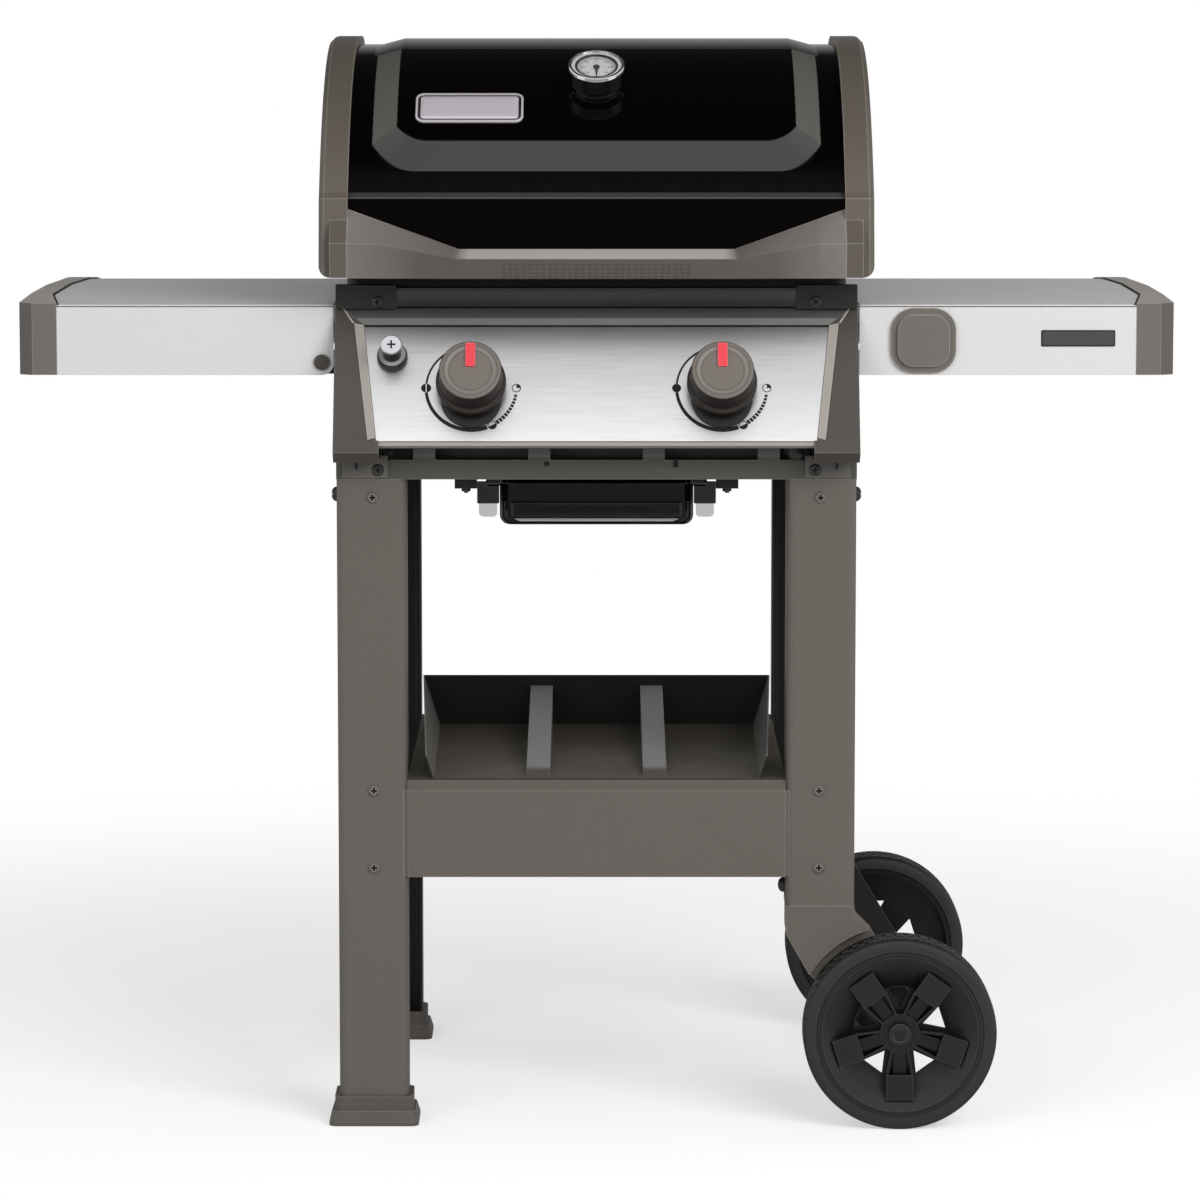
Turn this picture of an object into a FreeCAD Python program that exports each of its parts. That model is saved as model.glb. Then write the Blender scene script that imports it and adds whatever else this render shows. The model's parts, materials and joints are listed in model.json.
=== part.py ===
"""Two-burner gas barbecue grill on an open cart, as a parametric FreeCAD document.

Millimetres. +Z is up, +X is the cook's right hand and -Y is the front. The origin lies on the
ground under the middle of the grill. Every size is a cell of the Dimensions sheet, every place is
worked out from those cells, and both reach the features as expressions.
"""
import FreeCAD, Part
import math
import os
import Sketcher

Vector = FreeCAD.Vector
Rotation = FreeCAD.Rotation

DIMENSIONS = {
    # cart: four channel legs joined by braces and rails
    "cart_half_width": 273,
    "cart_depth": 505,
    "cart_offset": 24.5,
    "leg_width": 73,
    "leg_depth": 50,
    "leg_wall": 2,
    "leg_corner": 9,
    "leg_top": 689,
    "leg_seam": 235.5,
    "brace_bottom": 266.5,
    "brace_height": 102.5,
    "brace_wall": 1.5,
    "brace_flange": 28,
    "brace_bevel": 10,
    "tab_reach": 52,
    "side_rail_flange": 15,
    "lower_rail_height": 60,
    "upper_rail_height": 55,
    "cross_rail_height": 20.4,
    "cross_rail_depth": 40,
    "rail_tab_width": 23,
    "rail_tab_height": 12,
    "rail_tab_inner": 60,
    "rail_tab_inset": 92.5,
    "rail_screen_height": 17,
    "seat_gap": 0.3,
    "run_gap": 0.05,
    "end_flat": 1,
    # feet under the left legs
    "foot_floor": 4,
    "foot_wall": 5,
    "foot_top": 31,
    "foot_flange_height": 15.5,
    "foot_flange_out": 6,
    # bottom shelf
    "shelf_wall": 1.2,
    "shelf_gap": 5,
    "shelf_slant": 18,
    "shelf_front_slant": 23,
    "shelf_front_height": 24,
    "shelf_back": 187,
    "shelf_back_height": 56,
    "shelf_rib_width": 25,
    "shelf_rib_place": 62,
    "shelf_rib_height": 44,
    # wheels and their brackets
    "wheel_radius": 102.5,
    "wheel_width": 48,
    "wheel_out": 6.5,
    "axle_out": 47.9,
    "axle_radius": 4.75,
    "tyre_depth": 15,
    "tyre_round": 7,
    "rim_wall": 5,
    "rim_web": 4,
    "spoke_cheek_wall": 2.5,
    "hub_radius": 21,
    "hub_half_length": 20,
    "spoke_width": 19,
    "spoke_arm_width": 13,
    "spoke_block_width": 29,
    "spoke_block_inner": 44,
    "spoke_block_outer": 71,
    "spoke_count": 5,
    "arch_gap": 9.5,
    "arm_thickness": 12,
    "boss_radius": 26,
    "bracket_bend_height": 206,
    "bracket_round": 30,
    "bracket_tip_out": 29,
    "bracket_tip_height": 155,
    "bracket_shoulder_drop": 9,
    "bracket_shoulder_out": 17,
    "axle_cap_radius": 9,
    "axle_cap_length": 5,
    # firebox
    "firebox_inset": 11,
    "firebox_front_inset": 28,
    "firebox_rear_inset": 19,
    "firebox_wall": 3,
    "firebox_round": 14,
    "bar_inset": 53,
    "firebox_stand": 6.6,
    "firebox_slope_height": 36,
    "firebox_bar": 22,
    "firebox_bar_height": 19,
    "firebox_bar_drop": 9,
    "outlet_half_width": 85,
    "outlet_front": -110,
    "outlet_rear": 150,
    "foot_lug": 24,
    "ledge_depth": 12,
    "ledge_thickness": 5,
    "grate_drop": 12,
    "grate_thickness": 13,
    "bar_gap": 1,
    "grate_bar": 6,
    "grate_pitch": 18,
    "grate_rim": 9,
    # burners, bars and gas train
    "burner_place": 130.4,
    "burner_rise": 22,
    "burner_radius": 12,
    "burner_wall": 1,
    "burner_rear_gap": 20,
    "heat_bar_width": 92,
    "heat_bar_height": 46,
    "heat_bar_wall": 1.5,
    "heat_bar_gap": 32,
    "grate_gap": 21,
    "manifold_radius": 9,
    "manifold_out": 8,
    "manifold_drop": 24,
    "manifold_inset": 65,
    "inlet_radius": 7.9,
    "inlet_length": 14,
    "valve_radius": 13,
    "valve_length": 34,
    "valve_recess": 8,
    "stem_radius": 4,
    # control panel
    "panel_out": 52,
    "panel_lift": 24.1,
    "panel_slope": 63,
    "panel_length": 131.2,
    "panel_top_inset": 30.6,
    "panel_bottom_inset": 45,
    "panel_wall": 1.2,
    "panel_lip": 14,
    "panel_end_side": 0.6,
    "panel_end_width": 47.6,
    "panel_end_proud": 3,
    "panel_end_behind": 16,
    "panel_end_height": 157,
    "panel_end_lift": 1.6,
    "panel_end_wall": 3,
    "panel_strip_inset": 7.6,
    "ear_length": 55,
    "knob_row": 60,
    "knob_radius": 36.5,
    "knob_top_radius": 32.5,
    "knob_height": 50,
    "knob_dish_radius": 26,
    "knob_dish_depth": 1.2,
    "knob_bezel_radius": 31,
    "knob_bezel_height": 4,
    "knob_skirt_height": 15,
    "knob_skirt_round": 3,
    "knob_travel": 3,
    "pointer_width": 10,
    "pointer_length": 26,
    "pointer_height": 1.5,
    "igniter_inset": 60,
    "igniter_row": 94,
    "igniter_radius": 10.8,
    "igniter_collar_radius": 16,
    "igniter_collar_height": 12,
    "igniter_height": 36,
    "igniter_rim": 1,
    # drip tray
    "tray_half_width": 102,
    "tray_behind": 15,
    "tray_rear": 175,
    "tray_drop": 6,
    "tray_depth": 44,
    "tray_wall": 1.5,
    "tray_lip": 12,
    "tray_round": 10,
    "pan_gap": 3,
    "foil_wall": 0.5,
    "tray_mouth": 19,
    "tray_handle_out": 10,
    "tray_handle_height": 16,
    "tray_rail_wall": 2,
    "tray_holder_width": 23,
    "tray_holder_height": 22,
    "tray_holder_depth": 16,
    "tray_tab_height": 14,
    "tray_tab_width": 19,
    "tray_hanger_width": 24,
    "tray_hanger_height": 11.6,
    # side tables
    "table_gap": 2.5,
    "table_length": 290,
    "table_cap_length": 44,
    "table_ahead": 13,
    "table_short": 1,
    "table_rise": 182.5,
    "table_height": 74,
    "table_wall": 1.5,
    "table_round": 4,
    "table_cap_proud": 1.5,
    "table_cap_wall": 3,
    "pivot_inset": 12.5,
    "pivot_rise": 1,
    "pivot_radius": 4,
    "pivot_cap_radius": 8.4,
    "frame_wall": 3,
    "mount_wall": 4,
    "mount_drop": 9.5,
    "mount_spacer": 40,
    "table_cap_round": 10,
    "table_cap_facet": 26,
    "table_bow": 20,
    "table_bar_height": 20,
    "cover_inset": 67,
    "cover_size": 68,
    "cover_drop": 37.5,
    "cover_round": 24,
    "cover_thickness": 9,
    # lid
    "lid_gap": 5,
    "lid_overhang": 65,
    "lid_lean": 14.2,
    "lid_crease_rise": 81.3,
    "lid_crease_step": 6,
    "lid_round": 338,
    "lid_slope": 54.3,
    "lid_height": 235,
    "lid_rear_overhang": 44,
    "lid_rear_round": 188,
    "lid_wall": 2.5,
    "lid_inset": 4,
    "lid_raise": 7.5,
    "raise_inset": 22,
    "raise_bevel": 28,
    "raise_foot": 48.1,
    "raise_foot_bevel": 39,
    "raise_foot_narrow": 12,
    "raise_round": 47,
    "raise_inner_round": 22,
    "lid_cap_width": 30,
    "lid_cap_proud": 9,
    "lid_cap_wall": 4,
    "lid_cap_edge": 5,
    "lid_cap_round": 12,
    "handle_half_width": 143,
    "handle_bend_inset": 28,
    "handle_out": 40,
    "handle_underside": 28,
    "handle_height": 21,
    "handle_lip": 8,
    "handle_end_out": 22,
    "handle_end_height": 36,
    "handle_bend_top": 60,
    "handle_end_top": 70,
    "hinge_out": 12,
    "hinge_drop": 3,
    "hinge_ear": 10,
    "hinge_wall": 4,
    "hinge_pin_radius": 4,
    "hinge_inset": 16,
    "gauge_rise": 59,
    "gauge_radius": 30,
    "gauge_height": 29,
    "gauge_base_radius": 24,
    "gauge_recess": 5,
    "gauge_rim": 3.5,
    "gauge_lip": 1,
    "gauge_flare_height": 8.8,
    "gauge_pointer_gap": 5.3,
    "dial_wall": 0.8,
    "probe_radius": 3,
    "probe_length": 45,
    # fasteners
    "screw_radius": 3,
    "screw_head_radius": 6.5,
    "screw_head_height": 3,
    "screw_length": 10,
    "bolt_radius": 4,
    "bolt_head_radius": 8,
    "bolt_head_height": 7,
    "screw_inset": 38,
    "ear_screw_inset": 44,
    "bracket_screw_drop": 14,
    "screw_drop": 19,
    "brace_screw_inset": 10,
}

doc = FreeCAD.newDocument("gas_grill")
sheet = doc.addObject("Spreadsheet::Sheet", "Dimensions")
for row, (alias, number) in enumerate(DIMENSIONS.items(), 1):
    sheet.set(f"A{row}", alias)
    sheet.set(f"B{row}", str(number))
    sheet.setAlias(f"B{row}", alias)
doc.recompute()


class Size:
    """A length or an angle: its value, and the expression that gives it from the sheet."""

    def __init__(self, value, text):
        self.value = value
        self.text = text

    def __add__(self, other):
        other = as_size(other)
        return Size(self.value + other.value, f"({self.text} + {other.text})")

    def __sub__(self, other):
        other = as_size(other)
        return Size(self.value - other.value, f"({self.text} - {other.text})")

    def __mul__(self, other):
        other = as_size(other)
        return Size(self.value * other.value, f"({self.text} * {other.text})")

    def __truediv__(self, other):
        other = as_size(other)
        return Size(self.value / other.value, f"({self.text} / {other.text})")

    def __radd__(self, other):
        return as_size(other) + self

    def __rsub__(self, other):
        return as_size(other) - self

    def __rmul__(self, other):
        return as_size(other) * self

    def __rtruediv__(self, other):
        return as_size(other) / self

    def __neg__(self):
        return Size(-self.value, f"(-1 * {self.text})")

    def __float__(self):
        return float(self.value)


def as_size(number):
    return number if isinstance(number, Size) else Size(float(number), f"({float(number)})")


def sine(angle):
    return Size(math.sin(math.radians(angle.value)), f"sin({angle.text} * 1 deg)")


def cosine(angle):
    return Size(math.cos(math.radians(angle.value)), f"cos({angle.text} * 1 deg)")


class Cells:
    """The sheet's cells, each as a Size."""

    def __getattr__(self, alias):
        return Size(float(sheet.get(alias)), f"Dimensions.{alias}")


d = Cells()
nodes = []
SIDES = {"left": -1, "right": 1}
ENDS = {"front": -1, "rear": 1}

# Rotations that turn a piece's own +Z to a direction of the grill.
UP = Rotation()
FORWARD = Rotation(Vector(1, 0, 0), 90)
BACKWARD = Rotation(Vector(0, 1, 1), 180)
RIGHTWARD = Rotation(Vector(0, 1, 0), 90)
LEFTWARD = Rotation(Vector(0, 1, 0), -90)


def bind(thing, place, size):
    """Tie a property or a constraint to the sheet."""
    thing.setExpression(place, as_size(size).text)


def put(thing, x=0, y=0, z=0, turn=None, tilt=None):
    """Place an object, turned by a fixed rotation or tilted about X by an angle from the sheet."""
    if turn is not None:
        thing.Placement = FreeCAD.Placement(Vector(), turn)
    if tilt is not None:
        thing.Placement = FreeCAD.Placement(Vector(), Rotation(Vector(1, 0, 0), float(tilt)))
        bind(thing, "Placement.Rotation.Angle", tilt)
    for axis, size in zip("xyz", (x, y, z)):
        bind(thing, f"Placement.Base.{axis}", size)
    return thing


def node(thing, label):
    """Keep an object as a finished piece."""
    thing.Label = label
    nodes.append(thing)
    return thing


# ---- sketched bodies -------------------------------------------------------------------------

PLANES = {"XY": ("XY_Plane", 1), "XZ": ("XZ_Plane", -1), "YZ": ("YZ_Plane", 1)}


def new_body(label, keep=True):
    """A body; one that is not kept goes into a group."""
    body = doc.addObject("PartDesign::Body", label)
    return node(body, label) if keep else body


def new_sketch(body, plane, place):
    """An empty sketch of the body, parallel to an origin plane at a place along its normal."""
    role, sense = PLANES[plane]
    sketch = body.newObject("Sketcher::SketchObject", f"{body.Name}_sketch")
    support = next(each for each in body.Origin.OriginFeatures if each.Role == role)
    sketch.AttachmentSupport = [(support, "")]
    sketch.MapMode = "FlatFace"
    bind(sketch, "AttachmentOffset.Base.z", as_size(place) * sense)
    return sketch


def fix_point(sketch, geometry, vertex, u, v):
    """Hold a vertex at a place measured from the sketch's origin."""
    for kind, size in (("DistanceX", u), ("DistanceY", v)):
        size = as_size(size)
        index = sketch.addConstraint(
            Sketcher.Constraint(kind, -1, 1, geometry, vertex, size.value)
        )
        bind(sketch, f"Constraints[{index}]", size)


def outline(sketch, corners):
    """Draw a closed outline. A corner is (u, v), or (u, v, radius) where it is rounded."""
    points = [Vector(float(corner[0]), float(corner[1]), 0) for corner in corners]
    radii = [as_size(corner[2]) if len(corner) > 2 else None for corner in corners]
    count = len(points)
    starts, stops, middles = [], [], []
    for index, (point, radius) in enumerate(zip(points, radii)):
        back = (points[index - 1] - point).normalize()
        ahead = (points[(index + 1) % count] - point).normalize()
        if radius is None:
            stops.append(point)
            starts.append(point)
            middles.append(None)
            continue
        half = back.getAngle(ahead) / 2
        reach = radius.value / math.tan(half)
        inward = (back + ahead).normalize()
        stops.append(point + back * reach)
        starts.append(point + ahead * reach)
        middles.append(point + inward * (radius.value / math.sin(half) - radius.value))
    lines = [
        sketch.addGeometry(Part.LineSegment(starts[index], stops[(index + 1) % count]), False)
        for index in range(count)
    ]
    for index, radius in enumerate(radii):
        before, after = lines[index - 1], lines[index]
        if radius is None:
            sketch.addConstraint(Sketcher.Constraint("Coincident", before, 2, after, 1))
            fix_point(sketch, after, 1, *corners[index][:2])
            continue
        arc = sketch.addGeometry(Part.Arc(stops[index], middles[index], starts[index]), False)
        back = stops[index] - points[index]
        ahead = starts[index] - points[index]
        first, last = (1, 2) if back.cross(ahead).z < 0 else (2, 1)
        sketch.addConstraint(Sketcher.Constraint("Tangent", before, 2, arc, first))
        sketch.addConstraint(Sketcher.Constraint("Tangent", arc, last, after, 1))
        size = sketch.addConstraint(Sketcher.Constraint("Radius", arc, radius.value))
        bind(sketch, f"Constraints[{size}]", radius)
        corner = sketch.addGeometry(Part.Point(points[index]), True)
        sketch.addConstraint(Sketcher.Constraint("PointOnObject", corner, 1, before))
        sketch.addConstraint(Sketcher.Constraint("PointOnObject", corner, 1, after))
        fix_point(sketch, corner, 1, *corners[index][:2])


def circle(sketch, u, v, radius):
    centre = Vector(float(u), float(v), 0)
    ring = sketch.addGeometry(Part.Circle(centre, Vector(0, 0, 1), float(radius)), False)
    fix_point(sketch, ring, 3, u, v)
    size = sketch.addConstraint(Sketcher.Constraint("Radius", ring, float(radius)))
    bind(sketch, f"Constraints[{size}]", radius)


def drawn(body, plane, place, shapes):
    """A sketch holding outlines (lists of corners) and circles (triples of sizes)."""
    sketch = new_sketch(body, plane, place)
    for shape in shapes:
        if isinstance(shape, list):
            outline(sketch, shape)
        else:
            circle(sketch, *shape)
    return sketch


def pad(body, plane, start, stop, *shapes):
    """Add the shapes' material between two places along the plane's axis."""
    start, stop = ordered(start, stop)
    feature = body.newObject("PartDesign::Pad", f"{body.Name}_pad")
    feature.Profile = drawn(body, plane, start, shapes)
    feature.Reversed = plane == "XZ"
    bind(feature, "Length", stop - start)
    body.Tip = feature
    return feature


def pocket(body, plane, start, stop, *shapes):
    """Cut the shapes away between two places along the plane's axis."""
    start, stop = ordered(start, stop)
    feature = body.newObject("PartDesign::Pocket", f"{body.Name}_pocket")
    feature.Profile = drawn(body, plane, start, shapes)
    feature.Reversed = plane != "XZ"
    bind(feature, "Length", stop - start)
    body.Tip = feature
    return feature


def revolve(body, corners):
    """Turn an outline of (radius, height) corners about the body's Z axis."""
    sketch = drawn(body, "XZ", 0, [corners])
    feature = body.newObject("PartDesign::Revolution", f"{body.Name}_revolution")
    feature.Profile = sketch
    feature.ReferenceAxis = (sketch, ["V_Axis"])
    feature.Angle = 360
    body.Tip = feature
    return feature


def loft(body, plane, start, first, stop, last):
    """Join two outlines with the same number of corners."""
    feature = body.newObject("PartDesign::AdditiveLoft", f"{body.Name}_loft")
    feature.Profile = drawn(body, plane, start, [first])
    feature.Sections = [drawn(body, plane, stop, [last])]
    feature.Ruled = True
    body.Tip = feature
    return feature


def ordered(start, stop):
    start, stop = as_size(start), as_size(stop)
    return (start, stop) if start.value <= stop.value else (stop, start)


def rectangle(left, right, bottom, top, radius=None):
    corners = [(left, bottom), (right, bottom), (right, top), (left, top)]
    return corners if radius is None else [(u, v, radius) for u, v in corners]


# ---- primitives ------------------------------------------------------------------------------


def rod(label, radius, length, place, turn=UP):
    """A cylinder that starts at a place and runs the way its Z axis is turned."""
    cylinder = doc.addObject("Part::Cylinder", label)
    bind(cylinder, "Radius", radius)
    bind(cylinder, "Height", length)
    return put(cylinder, *place, turn=turn)


def union(label, *pieces):
    feature = doc.addObject("Part::MultiFuse", label)
    feature.Shapes = list(pieces)
    return feature


def difference(label, base, *tools):
    feature = doc.addObject("Part::Cut", label)
    feature.Base = base
    feature.Tool = tools[0] if len(tools) == 1 else union(f"{label}_tools", *tools)
    return feature


def group(label, *pieces):
    """Separate solids kept under one name."""
    feature = doc.addObject("Part::Compound", label)
    feature.Links = list(pieces)
    return node(feature, label)


def moved(place, turn, distance):
    """The place found by going a distance along the direction that +Z is turned to."""
    along = turn.multVec(Vector(0, 0, 1))
    return tuple(as_size(size) + distance * round(step) for size, step in zip(place, along))


def domed(label, place, turn, shank_radius, length, head_radius, head_height):
    """A fastener seated at a place: a domed head outside and a shank inside."""
    shank = rod(f"{label}_shank", shank_radius, length, moved(place, turn, -length), turn)
    ball_radius = (head_radius * head_radius / head_height + head_height) / 2
    ball = doc.addObject("Part::Sphere", f"{label}_ball")
    bind(ball, "Radius", ball_radius)
    put(ball, *moved(place, turn, head_height - ball_radius))
    dome = doc.addObject("Part::Common", f"{label}_dome")
    dome.Base = ball
    dome.Tool = rod(f"{label}_head", head_radius, head_height, place, turn)
    return union(label, shank, dome)


def screw(label, place, turn):
    return domed(
        label, place, turn, d.screw_radius, d.screw_length, d.screw_head_radius, d.screw_head_height
    )


def bolt(label, place, turn):
    return domed(
        label, place, turn, d.bolt_radius, d.screw_length, d.bolt_head_radius, d.bolt_head_height
    )


# ---- places shared by several pieces -----------------------------------------------------------

cart_face = {end: d.cart_offset + sense * d.cart_depth / 2 for end, sense in ENDS.items()}
firebox_front = cart_face["front"] + d.firebox_front_inset
firebox_rear = cart_face["rear"] - d.firebox_rear_inset
manifold_end = d.cart_half_width - d.manifold_inset
rail_tab_outer = d.cart_half_width - d.rail_tab_inset
igniter_place = d.cart_half_width - d.igniter_inset
brace_top = d.brace_bottom + d.brace_height
shelf_top = brace_top + d.shelf_wall
rail_top = d.leg_top + d.cross_rail_height
firebox_half_width = d.cart_half_width - d.firebox_inset
bar_half_width = firebox_half_width - d.bar_inset
firebox_bottom = rail_top + d.firebox_stand
firebox_shoulder = firebox_bottom + d.firebox_slope_height
burner_height = firebox_shoulder + d.burner_rise
heat_bar_bottom = burner_height + d.heat_bar_gap
grate_top = heat_bar_bottom + d.heat_bar_height + d.grate_gap + d.grate_thickness
firebox_top = grate_top + d.grate_drop
firebox_bar_top = firebox_top - d.firebox_bar_drop
burner_rear = firebox_rear - d.burner_rear_gap
manifold_height = burner_height - d.manifold_drop
manifold_place = cart_face["front"] - d.manifold_out
panel_front = cart_face["front"] - d.panel_out
panel_bottom = rail_top + d.panel_lift
panel_end_bottom = rail_top + d.panel_end_lift
panel_end_top = panel_end_bottom + d.panel_end_height
panel_end_out = d.cart_half_width + d.panel_end_side
panel_end_inner = panel_end_out - d.panel_end_width
panel_strip_half_width = panel_end_out - d.panel_strip_inset
panel_top_half_width = panel_end_out - d.panel_top_inset
panel_bottom_half_width = panel_end_out - d.panel_bottom_inset
panel_end_rear = cart_face["front"] + d.panel_end_behind
tray_top = d.leg_top - d.tray_drop
tray_front = cart_face["front"] + d.tray_behind
table_inner = d.cart_half_width + d.table_gap
table_end = table_inner + d.table_length
table_out = table_end + d.table_cap_length
table_front = firebox_front - d.table_ahead
table_rear = firebox_rear - d.table_short
table_top = d.leg_top + d.table_rise
pivot_place = table_inner + d.pivot_inset
mount_top = table_top - d.mount_drop
cover_place = table_inner + d.cover_inset
cover_height = table_top - d.cover_drop
lid_bottom = firebox_top + d.lid_gap
lid_top = lid_bottom + d.lid_height
lid_crease_height = lid_bottom + d.lid_crease_rise
lid_front = firebox_front - d.lid_overhang
lid_crease_place = lid_front + d.lid_lean
lid_rear = firebox_rear + d.lid_rear_overhang
lid_half_width = firebox_half_width - d.lid_inset
raise_half_width = lid_half_width - d.raise_inset
handle_bend = lid_half_width - d.handle_bend_inset
hinge_height = firebox_top - d.hinge_drop
hinge_place = firebox_rear + d.hinge_out
axle_place = d.cart_half_width + d.axle_out
arch_radius = d.wheel_radius + d.arch_gap
shelf_half_width = d.cart_half_width - d.leg_width - d.shelf_gap
shelf_floor_half_width = shelf_half_width - d.shelf_slant
shelf_front_half_width = shelf_half_width - d.shelf_front_slant
bracket_screw_height = firebox_bar_top - d.bracket_screw_drop
ear_screw_place = d.cart_half_width - d.ear_screw_inset
wheel_place = {end: cart_face[end] + sense * d.wheel_out for end, sense in ENDS.items()}
screw_place = d.cart_half_width - d.screw_inset
arm_face = {
    end: wheel_place[end] - sense * (d.hub_half_length + d.wheel_out) for end, sense in ENDS.items()
}
inside = firebox_half_width - d.firebox_wall
bracket_face = firebox_front - d.firebox_bar - d.brace_wall
firebox_inner_front = firebox_front + d.firebox_wall
firebox_inner_rear = firebox_rear - d.firebox_wall


# ---- cart ----------------------------------------------------------------------------------------


def leg_section(side, sense):
    """A channel: its web is the leg's face, and its flanges run towards the cart's middle."""
    outer = side * d.cart_half_width
    inner = side * (d.cart_half_width - d.leg_width)
    face = cart_face["front" if sense < 0 else "rear"]
    mouth = face - sense * d.leg_depth
    back = face - sense * d.leg_wall
    round_inside = d.leg_corner - d.leg_wall
    return [
        (outer, mouth),
        (outer, face, d.leg_corner),
        (inner, face, d.leg_corner),
        (inner, mouth),
        (inner + side * d.leg_wall, mouth),
        (inner + side * d.leg_wall, back, round_inside),
        (outer - side * d.leg_wall, back, round_inside),
        (outer - side * d.leg_wall, mouth),
    ]


def screw_heights():
    """Up a leg: one screw in the upper rail, two in the brace."""
    return (
        d.leg_top - d.screw_drop,
        brace_top - d.brace_screw_inset,
        d.brace_bottom + d.brace_screw_inset,
    )


def ear_screw(side):
    """Where a screw passes through a panel end's ear into the front cross rail."""
    return side * ear_screw_place, d.leg_top + d.cross_rail_height / 2


def rail_bolt_hole(end):
    """Where a domed bolt passes through a leg's outer flange and the upper rail."""
    y = cart_face[end] - ENDS[end] * d.screw_inset
    return y, d.leg_top - d.screw_drop, d.bolt_radius + d.seat_gap


def make_leg(end, hand):
    side, sense = SIDES[hand], ENDS[end]
    face = cart_face[end]
    bottom = d.foot_floor if hand == "left" else d.leg_seam
    body = new_body(f"leg_{end}_{hand}")
    pad(body, "XY", bottom, d.leg_top, leg_section(side, sense))
    back = face - sense * d.leg_wall
    hole = d.screw_radius + d.seat_gap
    holes = [(side * screw_place, height, hole) for height in screw_heights()]
    pocket(body, "XZ", face, back, *holes)
    # the brace's tab passes through the inner flange
    inner = side * (d.cart_half_width - d.leg_width)
    slot = rectangle(
        back,
        back - sense * (d.brace_wall + d.seat_gap),
        d.brace_bottom + d.brace_wall - d.seat_gap,
        brace_top - d.brace_bevel + d.seat_gap,
    )
    pocket(body, "YZ", inner, inner + side * d.leg_corner, slot)
    outer = side * d.cart_half_width
    pocket(body, "YZ", outer, outer - side * d.leg_wall, rail_bolt_hole(end))


def make_foot(end):
    """A moulded cap under a left leg: a floor, a collar round the leg and a wider flange."""
    sense = ENDS[end]
    face = cart_face[end]
    outer, inner = -d.cart_half_width, -d.cart_half_width + d.leg_width
    mouth = face - sense * d.leg_depth
    body = new_body(f"foot_{end}", keep=False)

    def ring(out, radius=d.leg_corner):
        low, high = ordered(face + sense * out, mouth - sense * out)
        return rectangle(outer - out, inner + out, low, high, radius)

    wide = d.foot_wall + d.foot_flange_out
    pad(body, "XY", 0, d.foot_floor, ring(wide))
    loft(body, "XY", d.foot_floor, ring(wide), d.foot_flange_height, ring(d.foot_wall + d.foot_wall / 2))
    pad(body, "XY", d.foot_flange_height, d.foot_top, ring(d.foot_wall))
    pocket(body, "XY", d.foot_floor, d.foot_top, ring(d.seat_gap, None))
    return body


def make_brace(end):
    """A pressed channel between two legs, with a tab behind each leg's face."""
    sense = ENDS[end]
    face = cart_face[end]
    reach = d.cart_half_width - d.leg_width - d.seat_gap
    wall, back = d.brace_wall, face - sense * d.brace_wall
    body = new_body(f"brace_{end}")
    section = [
        (face, d.brace_bottom),
        (face, brace_top - d.brace_bevel),
        (face - sense * d.brace_bevel, brace_top),
        (face - sense * d.brace_flange, brace_top),
        (face - sense * d.brace_flange, brace_top - wall),
        (face - sense * d.brace_bevel, brace_top - wall),
        (back, brace_top - d.brace_bevel - wall),
        (back, d.brace_bottom + wall),
        (face - sense * d.brace_flange, d.brace_bottom + wall),
        (face - sense * d.brace_flange, d.brace_bottom),
    ]
    pad(body, "YZ", -reach, reach, section)
    tab_face = face - sense * d.leg_wall
    low, high = d.brace_bottom + wall, brace_top - d.brace_bevel
    for side in SIDES.values():
        joggle = rectangle(back, tab_face - sense * wall, low, high)
        pad(body, "YZ", side * (reach - 2 * wall), side * reach, joggle)
        tab = rectangle(tab_face, tab_face - sense * wall, low, high)
        pad(body, "YZ", side * reach, side * (reach + d.tab_reach), tab)
    hole = d.screw_radius + d.seat_gap
    holes = [(side * screw_place, height, hole) for side in SIDES.values() for height in screw_heights()[1:]]
    pocket(body, "XZ", tab_face, tab_face - sense * wall, *holes)


def make_side_rail(level, hand, bottom, height, inset):
    """An angle between the front and rear legs, with a tab behind each leg's face."""
    side = SIDES[hand]
    wall = d.brace_wall
    outer = side * (d.cart_half_width - d.leg_wall)
    top = bottom + height
    front = cart_face["front"] + inset
    rear = cart_face["rear"] - inset
    body = new_body(f"{level}_rail_{hand}", keep=False)
    section = [
        (outer, bottom),
        (outer, top),
        (outer - side * d.side_rail_flange, top),
        (outer - side * d.side_rail_flange, top - wall),
        (outer - side * wall, top - wall),
        (outer - side * wall, bottom),
    ]
    corner = d.leg_corner - d.leg_wall
    pad(body, "XZ", front + corner, rear - corner, section)
    tab = [
        (outer - side * wall, front + corner + wall),
        (outer - side * wall, front + corner),
        (outer - side * corner, front),
        (side * (screw_place - d.bolt_head_radius), front),
        (side * (screw_place - d.bolt_head_radius), front + wall),
        (outer - side * corner, front + wall),
    ]
    flipped = [(x, cart_face["front"] + cart_face["rear"] - y) for x, y in tab]
    pad(body, "XY", bottom, top, tab, flipped)
    hole = d.screw_radius + d.seat_gap
    heights = screw_heights()[:1] if level == "upper" else screw_heights()[2:]
    holes = [(side * screw_place, height, hole) for height in heights]
    for start in (front, rear - wall):
        pocket(body, "XZ", start, start + wall, *holes)
    if level == "upper":
        bolt_holes = [rail_bolt_hole(end) for end in ENDS]
        pocket(body, "YZ", outer, outer - side * wall, *bolt_holes)
    return body


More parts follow.
